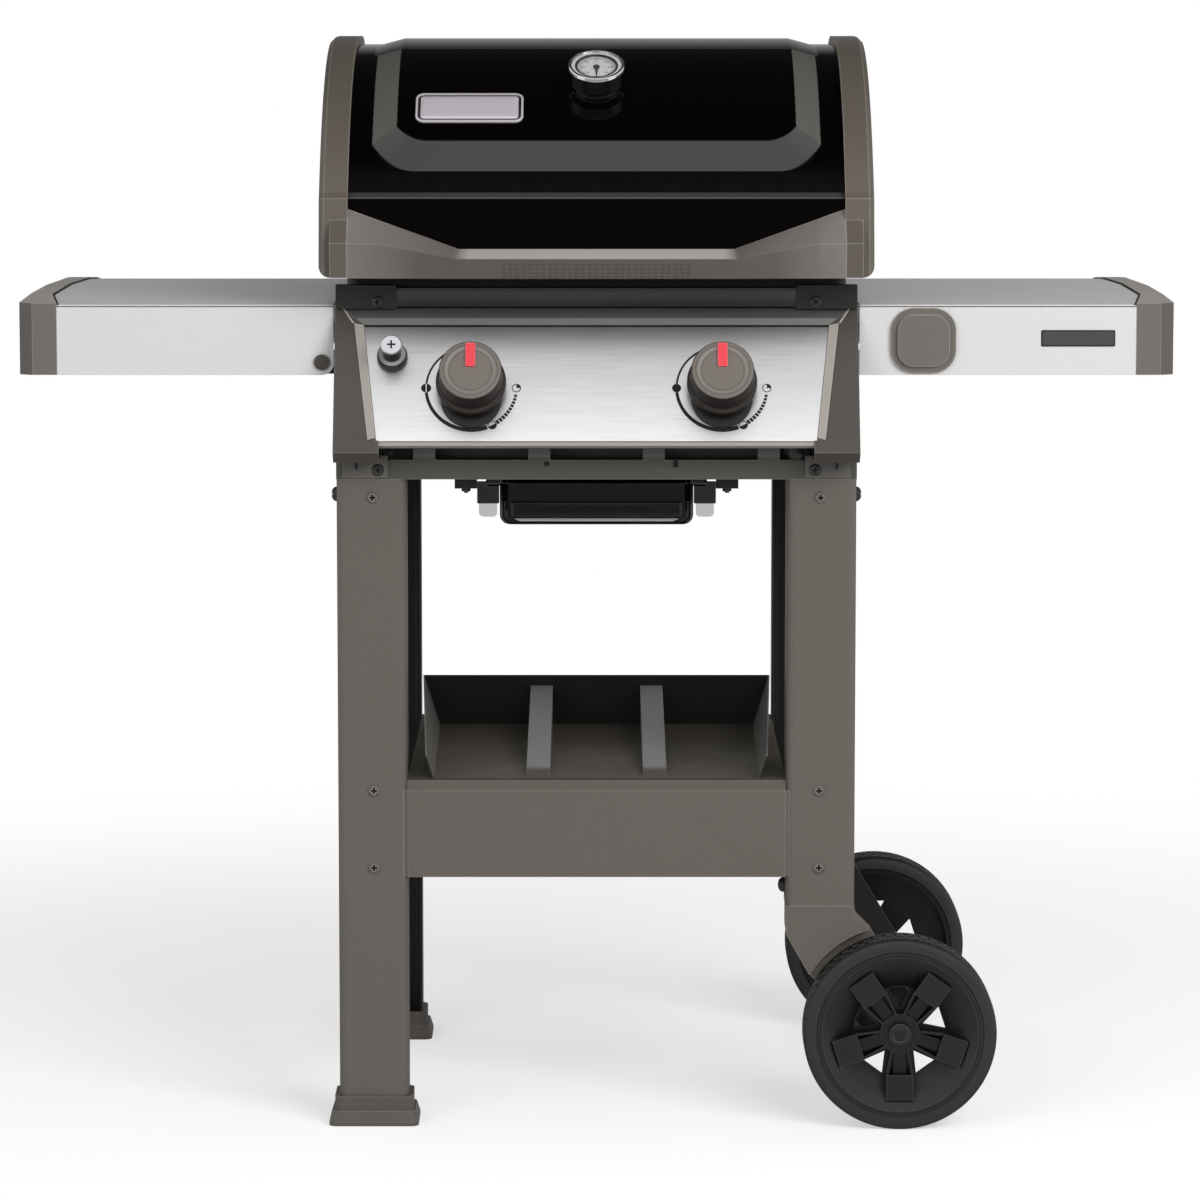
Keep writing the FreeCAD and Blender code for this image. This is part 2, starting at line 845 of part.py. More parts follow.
def make_cross_rail(end):
    """A channel on top of two legs. The front one carries four tabs and a screen behind them."""
    sense = ENDS[end]
    face = cart_face[end]
    wall = d.brace_wall
    mouth = face - sense * d.cross_rail_depth
    section = [
        (mouth, d.leg_top),
        (face, d.leg_top),
        (face, rail_top),
        (mouth, rail_top),
        (mouth, rail_top - wall),
        (face - sense * wall, rail_top - wall),
        (face - sense * wall, d.leg_top + wall),
        (mouth, d.leg_top + wall),
    ]
    body = new_body(f"cross_rail_{end}", keep=False)
    pad(body, "YZ", -d.cart_half_width, d.cart_half_width, section)
    if end == "front":
        half = d.rail_tab_width / 2
        tabs = [
            rectangle(side * place - half, side * place + half, rail_top, rail_top + d.rail_tab_height)
            for side in SIDES.values()
            for place in (d.rail_tab_inner, rail_tab_outer)
        ]
        pad(body, "XZ", face, face - sense * wall, *tabs)
        half = manifold_end - d.manifold_radius - d.seat_gap
        screen = rectangle(-half, half, rail_top - wall, rail_top + d.rail_screen_height)
        pad(body, "XZ", mouth + sense * wall, mouth, screen)
        hole = d.screw_radius + d.seat_gap
        holes = [(*ear_screw(side), hole) for side in SIDES.values()]
        pocket(body, "XZ", face, face - sense * wall, *holes)
    return body


def make_shelf():
    """A pressed tray on the braces: floor, back wall, leaning sides and two wedge ribs."""
    wall = d.shelf_wall
    front = cart_face["front"] + d.brace_bevel
    rear = cart_face["rear"] - d.brace_bevel
    back_top = shelf_top + d.shelf_back_height
    body = new_body("bottom_shelf")
    edge = d.cart_half_width - d.leg_width - d.seat_gap
    pad(body, "XY", brace_top, shelf_top, rectangle(-edge, edge, front, rear))
    back = rectangle(-shelf_half_width, shelf_half_width, brace_top, back_top)
    pad(body, "XZ", d.shelf_back, d.shelf_back + wall, back)
    slope = [(front, shelf_top), (d.shelf_back, shelf_top), (d.shelf_back, shelf_top + d.shelf_rib_height)]
    half = d.shelf_rib_width / 2
    run = (shelf_half_width - shelf_floor_half_width) / d.shelf_back_height
    for side in SIDES.values():
        place = side * d.shelf_rib_place
        pad(body, "YZ", place - half, place + half, slope)

        def lean(foot, height):
            head = foot + run * height
            return [
                (side * foot, brace_top),
                (side * head, shelf_top + height),
                (side * (head + wall), shelf_top + height),
                (side * (foot + wall), brace_top),
            ]

        front_lean = lean(shelf_front_half_width, d.shelf_front_height)
        rear_lean = lean(shelf_floor_half_width, d.shelf_back_height)
        loft(body, "XZ", front, front_lean, d.shelf_back + wall, rear_lean)


def bracket_outline(low_end):
    """A wheel bracket from the front: down its inner edge, by the wheel and up to its shoulder."""
    inner, outer = d.cart_half_width - d.leg_width, d.cart_half_width
    shoulder = d.leg_seam - d.bracket_shoulder_drop
    return [
        (inner, d.leg_seam),
        (inner, d.bracket_bend_height, d.bracket_round),
        *low_end,
        (outer + d.bracket_shoulder_out, shoulder - d.bracket_shoulder_out),
        (outer, shoulder, d.bracket_round / 2),
        (outer, d.leg_seam),
    ]


def make_wheel_bracket(end):
    """The formed end of a right leg: a face arched over the wheel and an arm to the axle."""
    sense = ENDS[end]
    face = cart_face[end]
    inner = d.cart_half_width - d.leg_width
    arm = arm_face[end]
    back = arm - sense * d.arm_thickness
    axle_height, boss = d.wheel_radius, d.boss_radius
    body = new_body(f"wheel_bracket_{end}")
    tip = (inner + d.bracket_tip_out, d.bracket_tip_height)
    pad(body, "XZ", face, arm, bracket_outline([tip, (axle_place, axle_height + boss)]))
    pocket(body, "XZ", face, arm, (axle_place, axle_height, arch_radius))
    heel = (axle_place - boss / 2, axle_height - boss)
    toe = (axle_place + boss, axle_height + boss / 2)
    pad(body, "XZ", arm, back, bracket_outline([tip, heel, toe]))
    pad(body, "XZ", arm, back, (axle_place, axle_height, boss))
    hub_face = wheel_place[end] - sense * (d.hub_half_length + d.seat_gap)
    pad(body, "XZ", hub_face, arm, (axle_place, axle_height, d.hub_radius / 2))
    web_back = face - sense * (d.leg_wall + d.brace_wall + d.seat_gap)
    fit = d.leg_wall + d.seat_gap
    spigot = rectangle(inner + fit, d.cart_half_width - fit, web_back, back, d.leg_corner)
    pad(body, "XY", d.leg_seam, d.brace_bottom - d.seat_gap, spigot)
    pocket(body, "XZ", hub_face, back, (axle_place, axle_height, d.axle_radius + d.seat_gap))


def make_wheel(end):
    """A spoked rim and its tyre, each turned about its own Z, which points outwards."""
    turn = FORWARD if end == "front" else BACKWARD
    place = (axle_place, wheel_place[end], d.wheel_radius)
    half = d.wheel_width / 2
    seat = d.wheel_radius - d.tyre_depth
    tyre = new_body(f"tyre_{end}")
    revolve(
        tyre,
        [
            (seat, -half),
            (d.wheel_radius, -half, d.tyre_round),
            (d.wheel_radius, half, d.tyre_round),
            (seat, half),
        ],
    )
    put(tyre, *place, turn=turn)
    rim = new_body(f"rim_{end}")
    web = d.rim_web / 2
    barrel = seat - d.rim_wall
    bore = d.axle_radius + d.run_gap
    revolve(
        rim,
        [
            (bore, -d.hub_half_length),
            (d.hub_radius, -d.hub_half_length),
            (d.hub_radius, -web),
            (barrel, -web),
            (barrel, -half),
            (seat, -half),
            (seat, half),
            (barrel, half),
            (d.spoke_block_inner + d.rim_wall, web),
            (d.hub_radius, web),
            (d.hub_radius, d.hub_half_length - d.rim_wall),
            (bore, d.hub_half_length - d.rim_wall),
        ],
    )
    window = pocket(rim, "XY", -half, half, window_outline())
    arm_half, block_half = d.spoke_arm_width / 2, d.spoke_block_width / 2
    arm_shape = rectangle(-arm_half, arm_half, -d.spoke_block_inner - web, web - d.hub_radius)
    arm = pad(rim, "XY", -web, half / 2, arm_shape)
    head_shape = rectangle(-block_half, block_half, -d.spoke_block_outer, -d.spoke_block_inner)
    head = pad(rim, "XY", -web, half - d.rim_web, head_shape)
    cheeks = pad(rim, "XY", -web, half - d.rim_web * 2, *[cheek(side) for side in SIDES.values()])
    spin = rim.newObject("PartDesign::PolarPattern", f"{rim.Name}_spokes")
    spin.Originals = [window, arm, head, cheeks]
    axis = next(each for each in rim.Origin.OriginFeatures if each.Role == "Z_Axis")
    spin.Axis = (axis, [""])
    spin.Angle = 360
    bind(spin, "Occurrences", d.spoke_count)
    rim.Tip = spin
    put(rim, *place, turn=turn)


def cheek(side):
    """A thin wall from a spoke's block to the hub, on one side of the spoke's arm."""
    near, far = d.spoke_width / 2, d.spoke_block_width / 2
    thin = d.spoke_cheek_wall
    return [
        (side * far, -d.spoke_block_inner - thin),
        (side * far, -d.spoke_block_inner),
        (side * near, -d.hub_radius + thin),
        (side * (near - thin), -d.hub_radius + thin),
        (side * (far - thin), -d.spoke_block_inner),
        (side * (far - thin), -d.spoke_block_inner - thin),
    ]


def window_outline():
    """The opening in the rim's web between two spokes, half a pitch round from the first spoke."""
    pitch = 360 / d.spoke_count
    half = pitch / 2
    near = d.hub_radius + d.rim_wall
    far = d.spoke_block_inner + d.rim_wall
    spread = pitch / 5
    return [
        (near * sine(half), -near * cosine(half)),
        (far * sine(half - spread), -far * cosine(half - spread)),
        (far * sine(half + spread), -far * cosine(half + spread)),
    ]


def make_axle():
    """One rod through both brackets and both wheels, with a push cap on each end."""
    reach = d.hub_half_length - d.rim_wall + d.seat_gap
    front = wheel_place["front"] - reach
    rear = wheel_place["rear"] + reach
    place = (axle_place, front, d.wheel_radius)
    shaft = rod("shaft", d.axle_radius, rear - front, place, BACKWARD)
    front_cap = rod("front_axle_cap", d.axle_cap_radius, d.axle_cap_length, place, FORWARD)
    rear_place = (axle_place, rear, d.wheel_radius)
    rear_cap = rod("rear_axle_cap", d.axle_cap_radius, d.axle_cap_length, rear_place, BACKWARD)
    node(union("axle_with_caps", shaft, front_cap, rear_cap), "axle")


def make_cart_fasteners():
    """Screws in the legs' faces, and domed bolts in the upper rails and the brackets."""
    screws = []
    bolts = []
    for end, sense in ENDS.items():
        turn = FORWARD if end == "front" else BACKWARD
        for hand, side in SIDES.items():
            for index, height in enumerate(screw_heights()):
                place = (side * screw_place, cart_face[end], height)
                screws.append(screw(f"leg_screw_{end}_{hand}_{index}", place, turn))
            outward = RIGHTWARD if hand == "right" else LEFTWARD
            place = (side * d.cart_half_width, *rail_bolt_hole(end)[:2])
            bolts.append(bolt(f"rail_bolt_{end}_{hand}", place, outward))
    for hand, side in SIDES.items():
        x, z = ear_screw(side)
        place = (x, cart_face["front"] - d.panel_end_wall, z)
        screws.append(screw(f"ear_screw_{hand}", place, FORWARD))
        place = (x, bracket_face, bracket_screw_height)
        screws.append(screw(f"bracket_screw_{hand}", place, FORWARD))
    group("cart_screws", *screws, *bolts)


def make_side_rails():
    upper = [
        make_side_rail("upper", hand, d.leg_top - d.upper_rail_height, d.upper_rail_height, d.leg_wall)
        for hand in SIDES
    ]
    lower = [
        make_side_rail("lower", hand, d.brace_bottom, d.lower_rail_height, d.leg_wall + d.brace_wall)
        for hand in SIDES
    ]
    group("side_rails", *upper, *lower)


for end in ENDS:
    for hand in SIDES:
        make_leg(end, hand)
    make_brace(end)
    make_wheel_bracket(end)
    make_wheel(end)
group("feet", *[make_foot(end) for end in ENDS])
group("cross_rails", *[make_cross_rail(end) for end in ENDS])
make_side_rails()
make_shelf()
make_axle()
make_cart_fasteners()


# ---- firebox -------------------------------------------------------------------------------------


def hollow(body, plane, start, first, stop, last):
    """Cut away what lies between two outlines with the same number of corners."""
    feature = body.newObject("PartDesign::SubtractiveLoft", f"{body.Name}_hollow")
    feature.Profile = drawn(body, plane, start, [first])
    feature.Sections = [drawn(body, plane, stop, [last])]
    feature.Ruled = True
    body.Tip = feature
    return feature


def firebox_walls(inset):
    return rectangle(
        -firebox_half_width + inset,
        firebox_half_width - inset,
        firebox_front + inset,
        firebox_rear - inset,
        d.firebox_round - inset,
    )


def firebox_outlet(inset):
    return rectangle(
        -d.outlet_half_width + inset,
        d.outlet_half_width - inset,
        d.outlet_front + inset,
        d.outlet_rear - inset,
        d.firebox_round - inset,
    )


def make_firebox():
    """A cast box with a funnel below, ledges inside, lugs on the rails and a bar across the front."""
    wall = d.firebox_wall
    body = new_body("firebox")
    pad(body, "XY", firebox_shoulder, firebox_top, firebox_walls(0))
    loft(body, "XY", firebox_bottom, firebox_outlet(0), firebox_shoulder, firebox_walls(0))
    for lug_front, lug_rear in (
        (firebox_front, cart_face["front"] + d.cross_rail_depth),
        (cart_face["rear"] - d.cross_rail_depth, firebox_rear),
    ):
        for side in SIDES.values():
            outer = side * (firebox_half_width - d.firebox_round)
            inner = outer - side * d.foot_lug
            lug = rectangle(inner, outer, lug_front, lug_rear)
            pad(body, "XY", rail_top, firebox_shoulder + wall, lug)
    hollow(body, "XY", firebox_bottom, firebox_outlet(wall), firebox_shoulder, firebox_walls(wall))
    pocket(body, "XY", firebox_shoulder, firebox_top, firebox_walls(wall))
    bar_front = firebox_front - d.firebox_bar
    bar = rectangle(bar_front, firebox_front, firebox_bar_top - d.firebox_bar_height, firebox_bar_top)
    pad(body, "YZ", -bar_half_width, bar_half_width, bar)
    for height in (grate_top - d.grate_thickness, heat_bar_bottom):
        for near, far in (
            (firebox_inner_front, firebox_inner_front + d.ledge_depth),
            (firebox_inner_rear - d.ledge_depth, firebox_inner_rear),
        ):
            side_place = inside - d.firebox_round
            ledge = rectangle(-side_place, side_place, near, far)
            pad(body, "XY", height - d.ledge_thickness, height, ledge)
    hole = d.burner_radius + d.seat_gap
    holes = [(side * d.burner_place, burner_height, hole) for side in SIDES.values()]
    pocket(body, "XZ", firebox_front, firebox_inner_front, *holes)


def make_grate(hand):
    """Half of the cooking grate: a rim and bars that run from front to back."""
    side = SIDES[hand]
    bottom = grate_top - d.grate_thickness
    near, far = ordered(side * d.seat_gap, side * (inside - d.firebox_round / 2))
    front, rear = firebox_inner_front + d.bar_gap, firebox_inner_rear - d.bar_gap
    body = new_body(f"grate_{hand}")
    rim = d.grate_rim
    pad(
        body,
        "XY",
        bottom,
        grate_top,
        rectangle(near, far, front, rear, rim),
        rectangle(near + rim, far - rim, front + rim, rear - rim),
    )
    count = int((far.value - near.value - 2 * rim.value) / d.grate_pitch.value)
    first = near + rim + (far - near - rim * 2 - d.grate_pitch * (count - 1)) / 2
    bar = pad(
        body,
        "XY",
        bottom,
        grate_top,
        rectangle(first - d.grate_bar / 2, first + d.grate_bar / 2, front + rim / 2, rear - rim / 2),
    )
    row = body.newObject("PartDesign::LinearPattern", f"grate_{hand}_bars")
    row.Originals = [bar]
    row.Direction = (next(each for each in body.Origin.OriginFeatures if each.Role == "X_Axis"), [""])
    bind(row, "Length", d.grate_pitch * (count - 1))
    row.Occurrences = count
    body.Tip = row


def make_heat_bars():
    """Three inverted channels over the burners and between them."""
    half, wall = d.heat_bar_width / 2, d.heat_bar_wall
    bottom, top = heat_bar_bottom, heat_bar_bottom + d.heat_bar_height
    bars = []
    for index, place in enumerate((-d.burner_place, as_size(0), d.burner_place)):
        body = new_body(f"heat_bar_{index}", keep=False)
        section = [
            (place - half, bottom),
            (place, top),
            (place + half, bottom),
            (place + half - wall * 2, bottom),
            (place, top - wall * 2),
            (place - half + wall * 2, bottom),
        ]
        pad(body, "XZ", firebox_inner_front + d.bar_gap, firebox_inner_rear - d.bar_gap, section)
        bars.append(body)
    group("heat_bars", *bars)


# ---- gas train -----------------------------------------------------------------------------------


def make_burners():
    """Two perforated tubes through the firebox's front wall, joined near the back."""
    pieces = []
    front = firebox_front - d.burner_radius / 2
    for hand, side in SIDES.items():
        body = new_body(f"burner_{hand}", keep=False)
        centre = (side * d.burner_place, burner_height)
        pad(
            body,
            "XZ",
            front,
            burner_rear,
            (*centre, d.burner_radius),
        )
        pocket(body, "XZ", front, burner_rear - d.burner_wall, (*centre, d.burner_radius - d.burner_wall))
        seat = rectangle(
            side * d.burner_place - d.burner_radius / 2,
            side * d.burner_place + d.burner_radius / 2,
            burner_height - d.burner_wall,
            burner_height + d.burner_wall,
        )
        pad(body, "XZ", burner_rear - d.burner_wall, firebox_inner_rear, seat)
        pieces.append(body)
    reach = d.burner_place - d.burner_radius - d.seat_gap
    place = (-reach, burner_rear - d.burner_radius * 2, burner_height)
    pieces.append(rod("crossover", d.burner_radius / 2, reach * 2, place, RIGHTWARD))
    group("burners", *pieces)


panel_rise = sine(d.panel_slope)
panel_run = cosine(d.panel_slope)
stem_hole = d.stem_radius * 2 + d.seat_gap
knob_low = d.knob_bezel_height + d.knob_travel + d.seat_gap
stem_depth = d.valve_length - d.valve_recess
stem_top = knob_low + d.knob_height / 2


def panel_place(x, row, out=0):
    """A place on the control panel: across, up the slope and out from its face."""
    y = panel_front + row * panel_run - out * panel_rise
    z = panel_bottom + row * panel_rise + out * panel_run
    return x, y, z


def slope_at(height, out):
    """How far forward the panel's slope stands at a height, moved out from its face."""
    return panel_front + (height - panel_bottom) * panel_run / panel_rise - out / panel_rise


def make_manifold():
    """The gas pipe under the valves, with a drop to the inlet fitting behind the front rail."""
    radius = d.manifold_radius
    drop = rail_top + radius
    inlet_y = cart_face["front"] + d.leg_depth + radius * 2
    start = (-manifold_end, manifold_place, manifold_height)
    corner = (manifold_end, manifold_place, manifold_height)
    low = (manifold_end, manifold_place, drop)
    back = (manifold_end, inlet_y, drop)
    tip = d.leg_top - d.inlet_length
    pieces = [
        rod("manifold_pipe", radius, manifold_end * 2, start, RIGHTWARD),
        rod("manifold_drop", radius, manifold_height - drop, low, UP),
        rod("manifold_run", radius, inlet_y - manifold_place, low, BACKWARD),
        rod("manifold_tail", radius, drop - d.leg_top, (manifold_end, inlet_y, d.leg_top), UP),
        rod("gas_inlet", d.inlet_radius, d.inlet_length, (manifold_end, inlet_y, tip), UP),
    ]
    for index, place in enumerate((corner, low, back)):
        elbow = doc.addObject("Part::Sphere", f"elbow_{index}")
        bind(elbow, "Radius", radius)
        pieces.append(put(elbow, *place))
    node(union("manifold_union", *pieces), "manifold")


def make_valves():
    """A valve on the manifold behind each knob, with its spud pointing into the burner."""
    valves = []
    for hand, side in SIDES.items():
        x = side * d.burner_place
        body = new_body(f"valve_{hand}", keep=False)
        deep = d.valve_recess + d.valve_length
        revolve(
            body,
            [
                (0, -deep),
                (d.valve_radius, -deep),
                (d.valve_radius, -d.valve_recess),
                (d.stem_radius * 2, -d.valve_recess),
                (d.stem_radius * 2, -d.panel_wall - d.seat_gap),
                (0, -d.panel_wall - d.seat_gap),
            ],
        )
        place = panel_place(x, d.knob_row)
        put(body, *place, tilt=d.panel_slope)
        middle = panel_place(x, d.knob_row, -d.valve_recess - d.valve_length / 2)
        saddle = rod(
            f"valve_saddle_{hand}",
            d.manifold_radius,
            middle[2] - manifold_height,
            (x, manifold_place, manifold_height),
        )
        spud_length = firebox_front - d.burner_radius / 2 - d.seat_gap - middle[1]
        spud = rod(
            f"valve_spud_{hand}", d.stem_radius, spud_length, (x, middle[1], burner_height), BACKWARD
        )
        whole = union(f"valve_whole_{hand}", body, saddle, spud)
        pipe = rod(
            f"valve_seat_{hand}",
            d.manifold_radius + d.run_gap,
            d.valve_radius * 4,
            (x - d.valve_radius * 2, manifold_place, manifold_height),
            RIGHTWARD,
        )
        bore = rod(f"valve_bore_{hand}", d.stem_radius + d.run_gap, stem_depth, (0, 0, 0))
        put(bore, *panel_place(x, d.knob_row, -stem_depth - d.seat_gap), tilt=d.panel_slope)
        valves.append(difference(f"valve_bored_{hand}", whole, pipe, bore))
    group("valves", *valves)


def make_stem(hand):
    """The shaft that turns in the valve and carries the knob."""
    stem = rod(f"valve_stem_{hand}", d.stem_radius, stem_depth + stem_top, (0, 0, 0))
    place = panel_place(SIDES[hand] * d.burner_place, d.knob_row, -stem_depth)
    put(stem, *place, tilt=d.panel_slope)
    node(stem, f"valve_stem_{hand}")


# ---- control panel ---------------------------------------------------------------------------------


def make_panel():
    """The sloped face: a trapezoid of sheet with a lip turned back along the bottom."""
    body = new_body("control_panel")
    wall = d.panel_wall
    bottom, top = panel_bottom_half_width, panel_top_half_width
    face = [(-bottom, 0), (bottom, 0), (top, d.panel_length), (-top, d.panel_length)]
    pad(body, "XY", -wall, 0, face)
    pad(body, "XY", -d.panel_lip, 0, rectangle(-bottom, bottom, 0, wall))
    knobs = [(side * d.burner_place, d.knob_row, stem_hole) for side in SIDES.values()]
    igniter = (-igniter_place, d.igniter_row, d.igniter_radius + d.seat_gap)
    pocket(body, "XY", -wall, 0, *knobs, igniter)
    put(body, 0, panel_front, panel_bottom, tilt=d.panel_slope)


def frustum(label, grow):
    """The strip above the panel: it widens upwards, and leans back like the panel's face."""
    piece = doc.addObject("Part::Wedge", label)
    _, _, top = panel_place(0, d.panel_length)
    low = top + d.seat_gap - grow
    high = panel_end_top + grow
    proud = d.panel_end_proud + grow
    narrow, wide = panel_top_half_width + grow, panel_strip_half_width + grow
    rear = -panel_end_rear - grow
    for name, size in (
        ("Xmin", -narrow),
        ("Xmax", narrow),
        ("Ymin", low),
        ("Ymax", high),
        ("X2min", -wide),
        ("X2max", wide),
        ("Zmin", rear),
        ("Zmax", -slope_at(low, proud)),
        ("Z2min", rear),
        ("Z2max", -slope_at(high, proud)),
    ):
        bind(piece, name, size)
    return put(piece, turn=FORWARD)


def make_panel_top():
    """The dark strip that closes the top of the panel, mitred into both ends."""
    node(frustum("panel_strip", as_size(0)), "panel_top")


def make_panel_end(hand):
    """The moulded end of the panel: hollow, sloped like the face, with an ear on the front rail."""
    side = SIDES[hand]
    wall, proud = d.panel_end_wall, d.panel_end_proud
    inner, outer = side * panel_end_inner, side * panel_end_out
    _, foot_y, foot_z = panel_place(0, -d.panel_lip, proud)
    rear, top, bottom = panel_end_rear, panel_end_top, panel_end_bottom
    body = new_body(f"panel_end_body_{hand}", keep=False)
    section = [
        (foot_y, foot_z),
        (slope_at(top, proud), top),
        (rear, top),
        (rear, bottom),
        (foot_y + d.panel_lip, bottom),
    ]
    pad(body, "YZ", inner, outer, section)
    peak = panel_bottom + (rear - wall * 2 - panel_front) * panel_rise / panel_run
    cavity = [
        (slope_at(foot_z + wall, proud - wall), foot_z + wall),
        (slope_at(peak, proud - wall), peak),
        (rear - wall, peak),
        (rear - wall, bottom + wall),
        (foot_y + d.panel_lip + wall, bottom + wall),
    ]
    pocket(body, "YZ", inner, outer - side * wall, cavity)
    face = cart_face["front"]
    ear = rectangle(
        outer - side * d.panel_lip / 2,
        outer - side * d.ear_length,
        d.leg_top + d.brace_wall,
        bottom + wall,
    )
    pad(body, "XZ", face - wall, face, ear)
    pocket(body, "XZ", face - wall, face, (*ear_screw(side), d.screw_radius + d.seat_gap))
    strip = frustum(f"strip_room_{hand}", d.seat_gap)
    whole = difference(f"panel_end_cut_{hand}", body, panel_room(hand), strip)
    node(whole, f"panel_end_{hand}")


def panel_room(hand):
    """The space that the panel and its lip take between the two ends."""
    gap = d.seat_gap
    room = doc.addObject("Part::Wedge", f"panel_room_{hand}")
    bottom, top = panel_bottom_half_width + gap, panel_top_half_width + gap
    low, high = -d.panel_lip - gap, d.panel_lip
    for name, size in (
        ("Xmin", -bottom),
        ("Xmax", bottom),
        ("Ymin", 0),
        ("Ymax", d.panel_length + gap),
        ("X2min", -top),
        ("X2max", top),
        ("Zmin", low),
        ("Zmax", high),
        ("Z2min", low),
        ("Z2max", high),
    ):
        bind(room, name, size)
    return put(room, 0, panel_front, panel_bottom, tilt=d.panel_slope)


def make_bezels():
    """Rings on the panel round each knob and round the igniter."""
    rings = []
    for hand, side in SIDES.items():
        ring = new_body(f"knob_bezel_{hand}", keep=False)
        inner = stem_hole
        revolve(
            ring,
            [
                (inner, 0),
                (d.knob_bezel_radius, 0),
                (d.knob_bezel_radius - d.knob_bezel_height / 2, d.knob_bezel_height),
                (inner, d.knob_bezel_height),
            ],
        )
        put(ring, *panel_place(side * d.burner_place, d.knob_row), tilt=d.panel_slope)
        rings.append(ring)
    collar = new_body("igniter_collar", keep=False)
    inner = d.igniter_radius - d.igniter_rim + d.run_gap
    outer = d.igniter_collar_radius
    revolve(
        collar,
        [
            (inner, 0),
            (outer, 0),
            (outer, d.igniter_collar_height / 2),
            (outer - d.igniter_rim * 2, d.igniter_collar_height),
            (inner, d.igniter_collar_height),
        ],
    )
    put(collar, *panel_place(-igniter_place, d.igniter_row), tilt=d.panel_slope)
    group("control_bezels", *rings, collar)


def make_knob(hand):
    """A stepped round knob with a blind bore, and the pointer set in its face."""
    x = SIDES[hand] * d.burner_place
    height, radius = d.knob_height, d.knob_radius
    bore = d.stem_radius + d.run_gap
    depth = stem_top + d.knob_travel + d.seat_gap
    turnover = d.knob_skirt_round
    skirt = knob_low + d.knob_skirt_height
    knob = new_body(f"knob_{hand}")
    revolve(
        knob,
        [
            (bore, knob_low),
            (radius - turnover * 2, knob_low),
            (radius, knob_low + turnover * 2, turnover),
            (radius, skirt - turnover, turnover),
            (radius - turnover, skirt + turnover / 2),
            (d.knob_top_radius, height, turnover),
            (d.knob_dish_radius, height),
            (d.knob_dish_radius - turnover, height - d.knob_dish_depth),
            (0, height - d.knob_dish_depth),
            (0, depth),
            (bore, depth),
        ],
    )
    half = d.pointer_width / 2
    outer = d.knob_top_radius - turnover
    sunk = height - d.knob_dish_depth * 2

    def pointer_shape(grow):
        near, far = outer - d.pointer_length - grow, outer + grow
        return rectangle(-half - grow, half + grow, near, far, half / 4)

    pocket(knob, "XY", sunk, height, pointer_shape(d.run_gap))
    place = panel_place(x, d.knob_row)
    put(knob, *place, tilt=d.panel_slope)
    pointer = new_body(f"knob_pointer_{hand}")
    pad(pointer, "XY", sunk, height + d.pointer_height, pointer_shape(0))
    put(pointer, *place, tilt=d.panel_slope)


def make_igniter():
    """A push button with a bright cap, sliding in its collar."""
    body = new_body("igniter_button")
    radius, rim = d.igniter_radius, d.igniter_rim
    revolve(
        body,
        [
            (0, -d.igniter_collar_height),
            (radius - rim, -d.igniter_collar_height),
            (radius - rim, d.igniter_height - rim * 4),
            (radius, d.igniter_height - rim * 4),
            (radius, d.igniter_height, rim),
            (0, d.igniter_height),
        ],
    )
    put(body, *panel_place(-igniter_place, d.igniter_row), tilt=d.panel_slope)


# ---- drip tray -------------------------------------------------------------------------------------


def make_tray():
    """A pull-out tray hung by its lips, and the foil pan in it."""
    wall = d.tray_wall
    top, bottom = tray_top, tray_top - d.tray_depth
    half = d.tray_half_width
    body = new_body("drip_tray")
    pad(body, "XY", bottom, top, rectangle(-half, half, tray_front, d.tray_rear, d.tray_round))
    lip = half + d.tray_lip
    pad(body, "XY", top - wall, top, rectangle(-lip, lip, tray_front + d.tray_lip, d.tray_rear))
    front, rear = tray_front + wall, d.tray_rear - wall
    inner = rectangle(-half + wall, half - wall, front, rear, d.tray_round - wall)
    pocket(body, "XY", bottom + wall, top, inner)
    # the front wall is cut down, and its top rolls out into a lip to pull by
    face = tray_front
    mouth = top - d.tray_mouth
    opening = rectangle(-half + d.tray_round, half - d.tray_round, mouth, top)
    pocket(body, "XZ", face, face + d.tray_lip, opening)
    low = mouth - d.tray_handle_height
    lip = [
        (face, low),
        (face - d.tray_handle_out, low + wall, wall),
        (face - d.tray_handle_out, mouth, wall),
        (face, mouth),
    ]
    pad(body, "YZ", -half + d.tray_round, half - d.tray_round, lip)
    pan = new_body("catch_pan")
    floor, rim = bottom + wall, top - d.tray_depth / 3

    def ring(inset, radius):
        near, far = tray_front + inset, d.tray_rear - inset
        return rectangle(-half + inset, half - inset, near, far, radius)

    gap = wall + d.pan_gap
    pad(pan, "XY", floor, rim, ring(gap, d.tray_round))
    foil_ring = ring(gap + d.foil_wall, d.tray_round - d.foil_wall)
    pocket(pan, "XY", floor + d.foil_wall, rim, foil_ring)


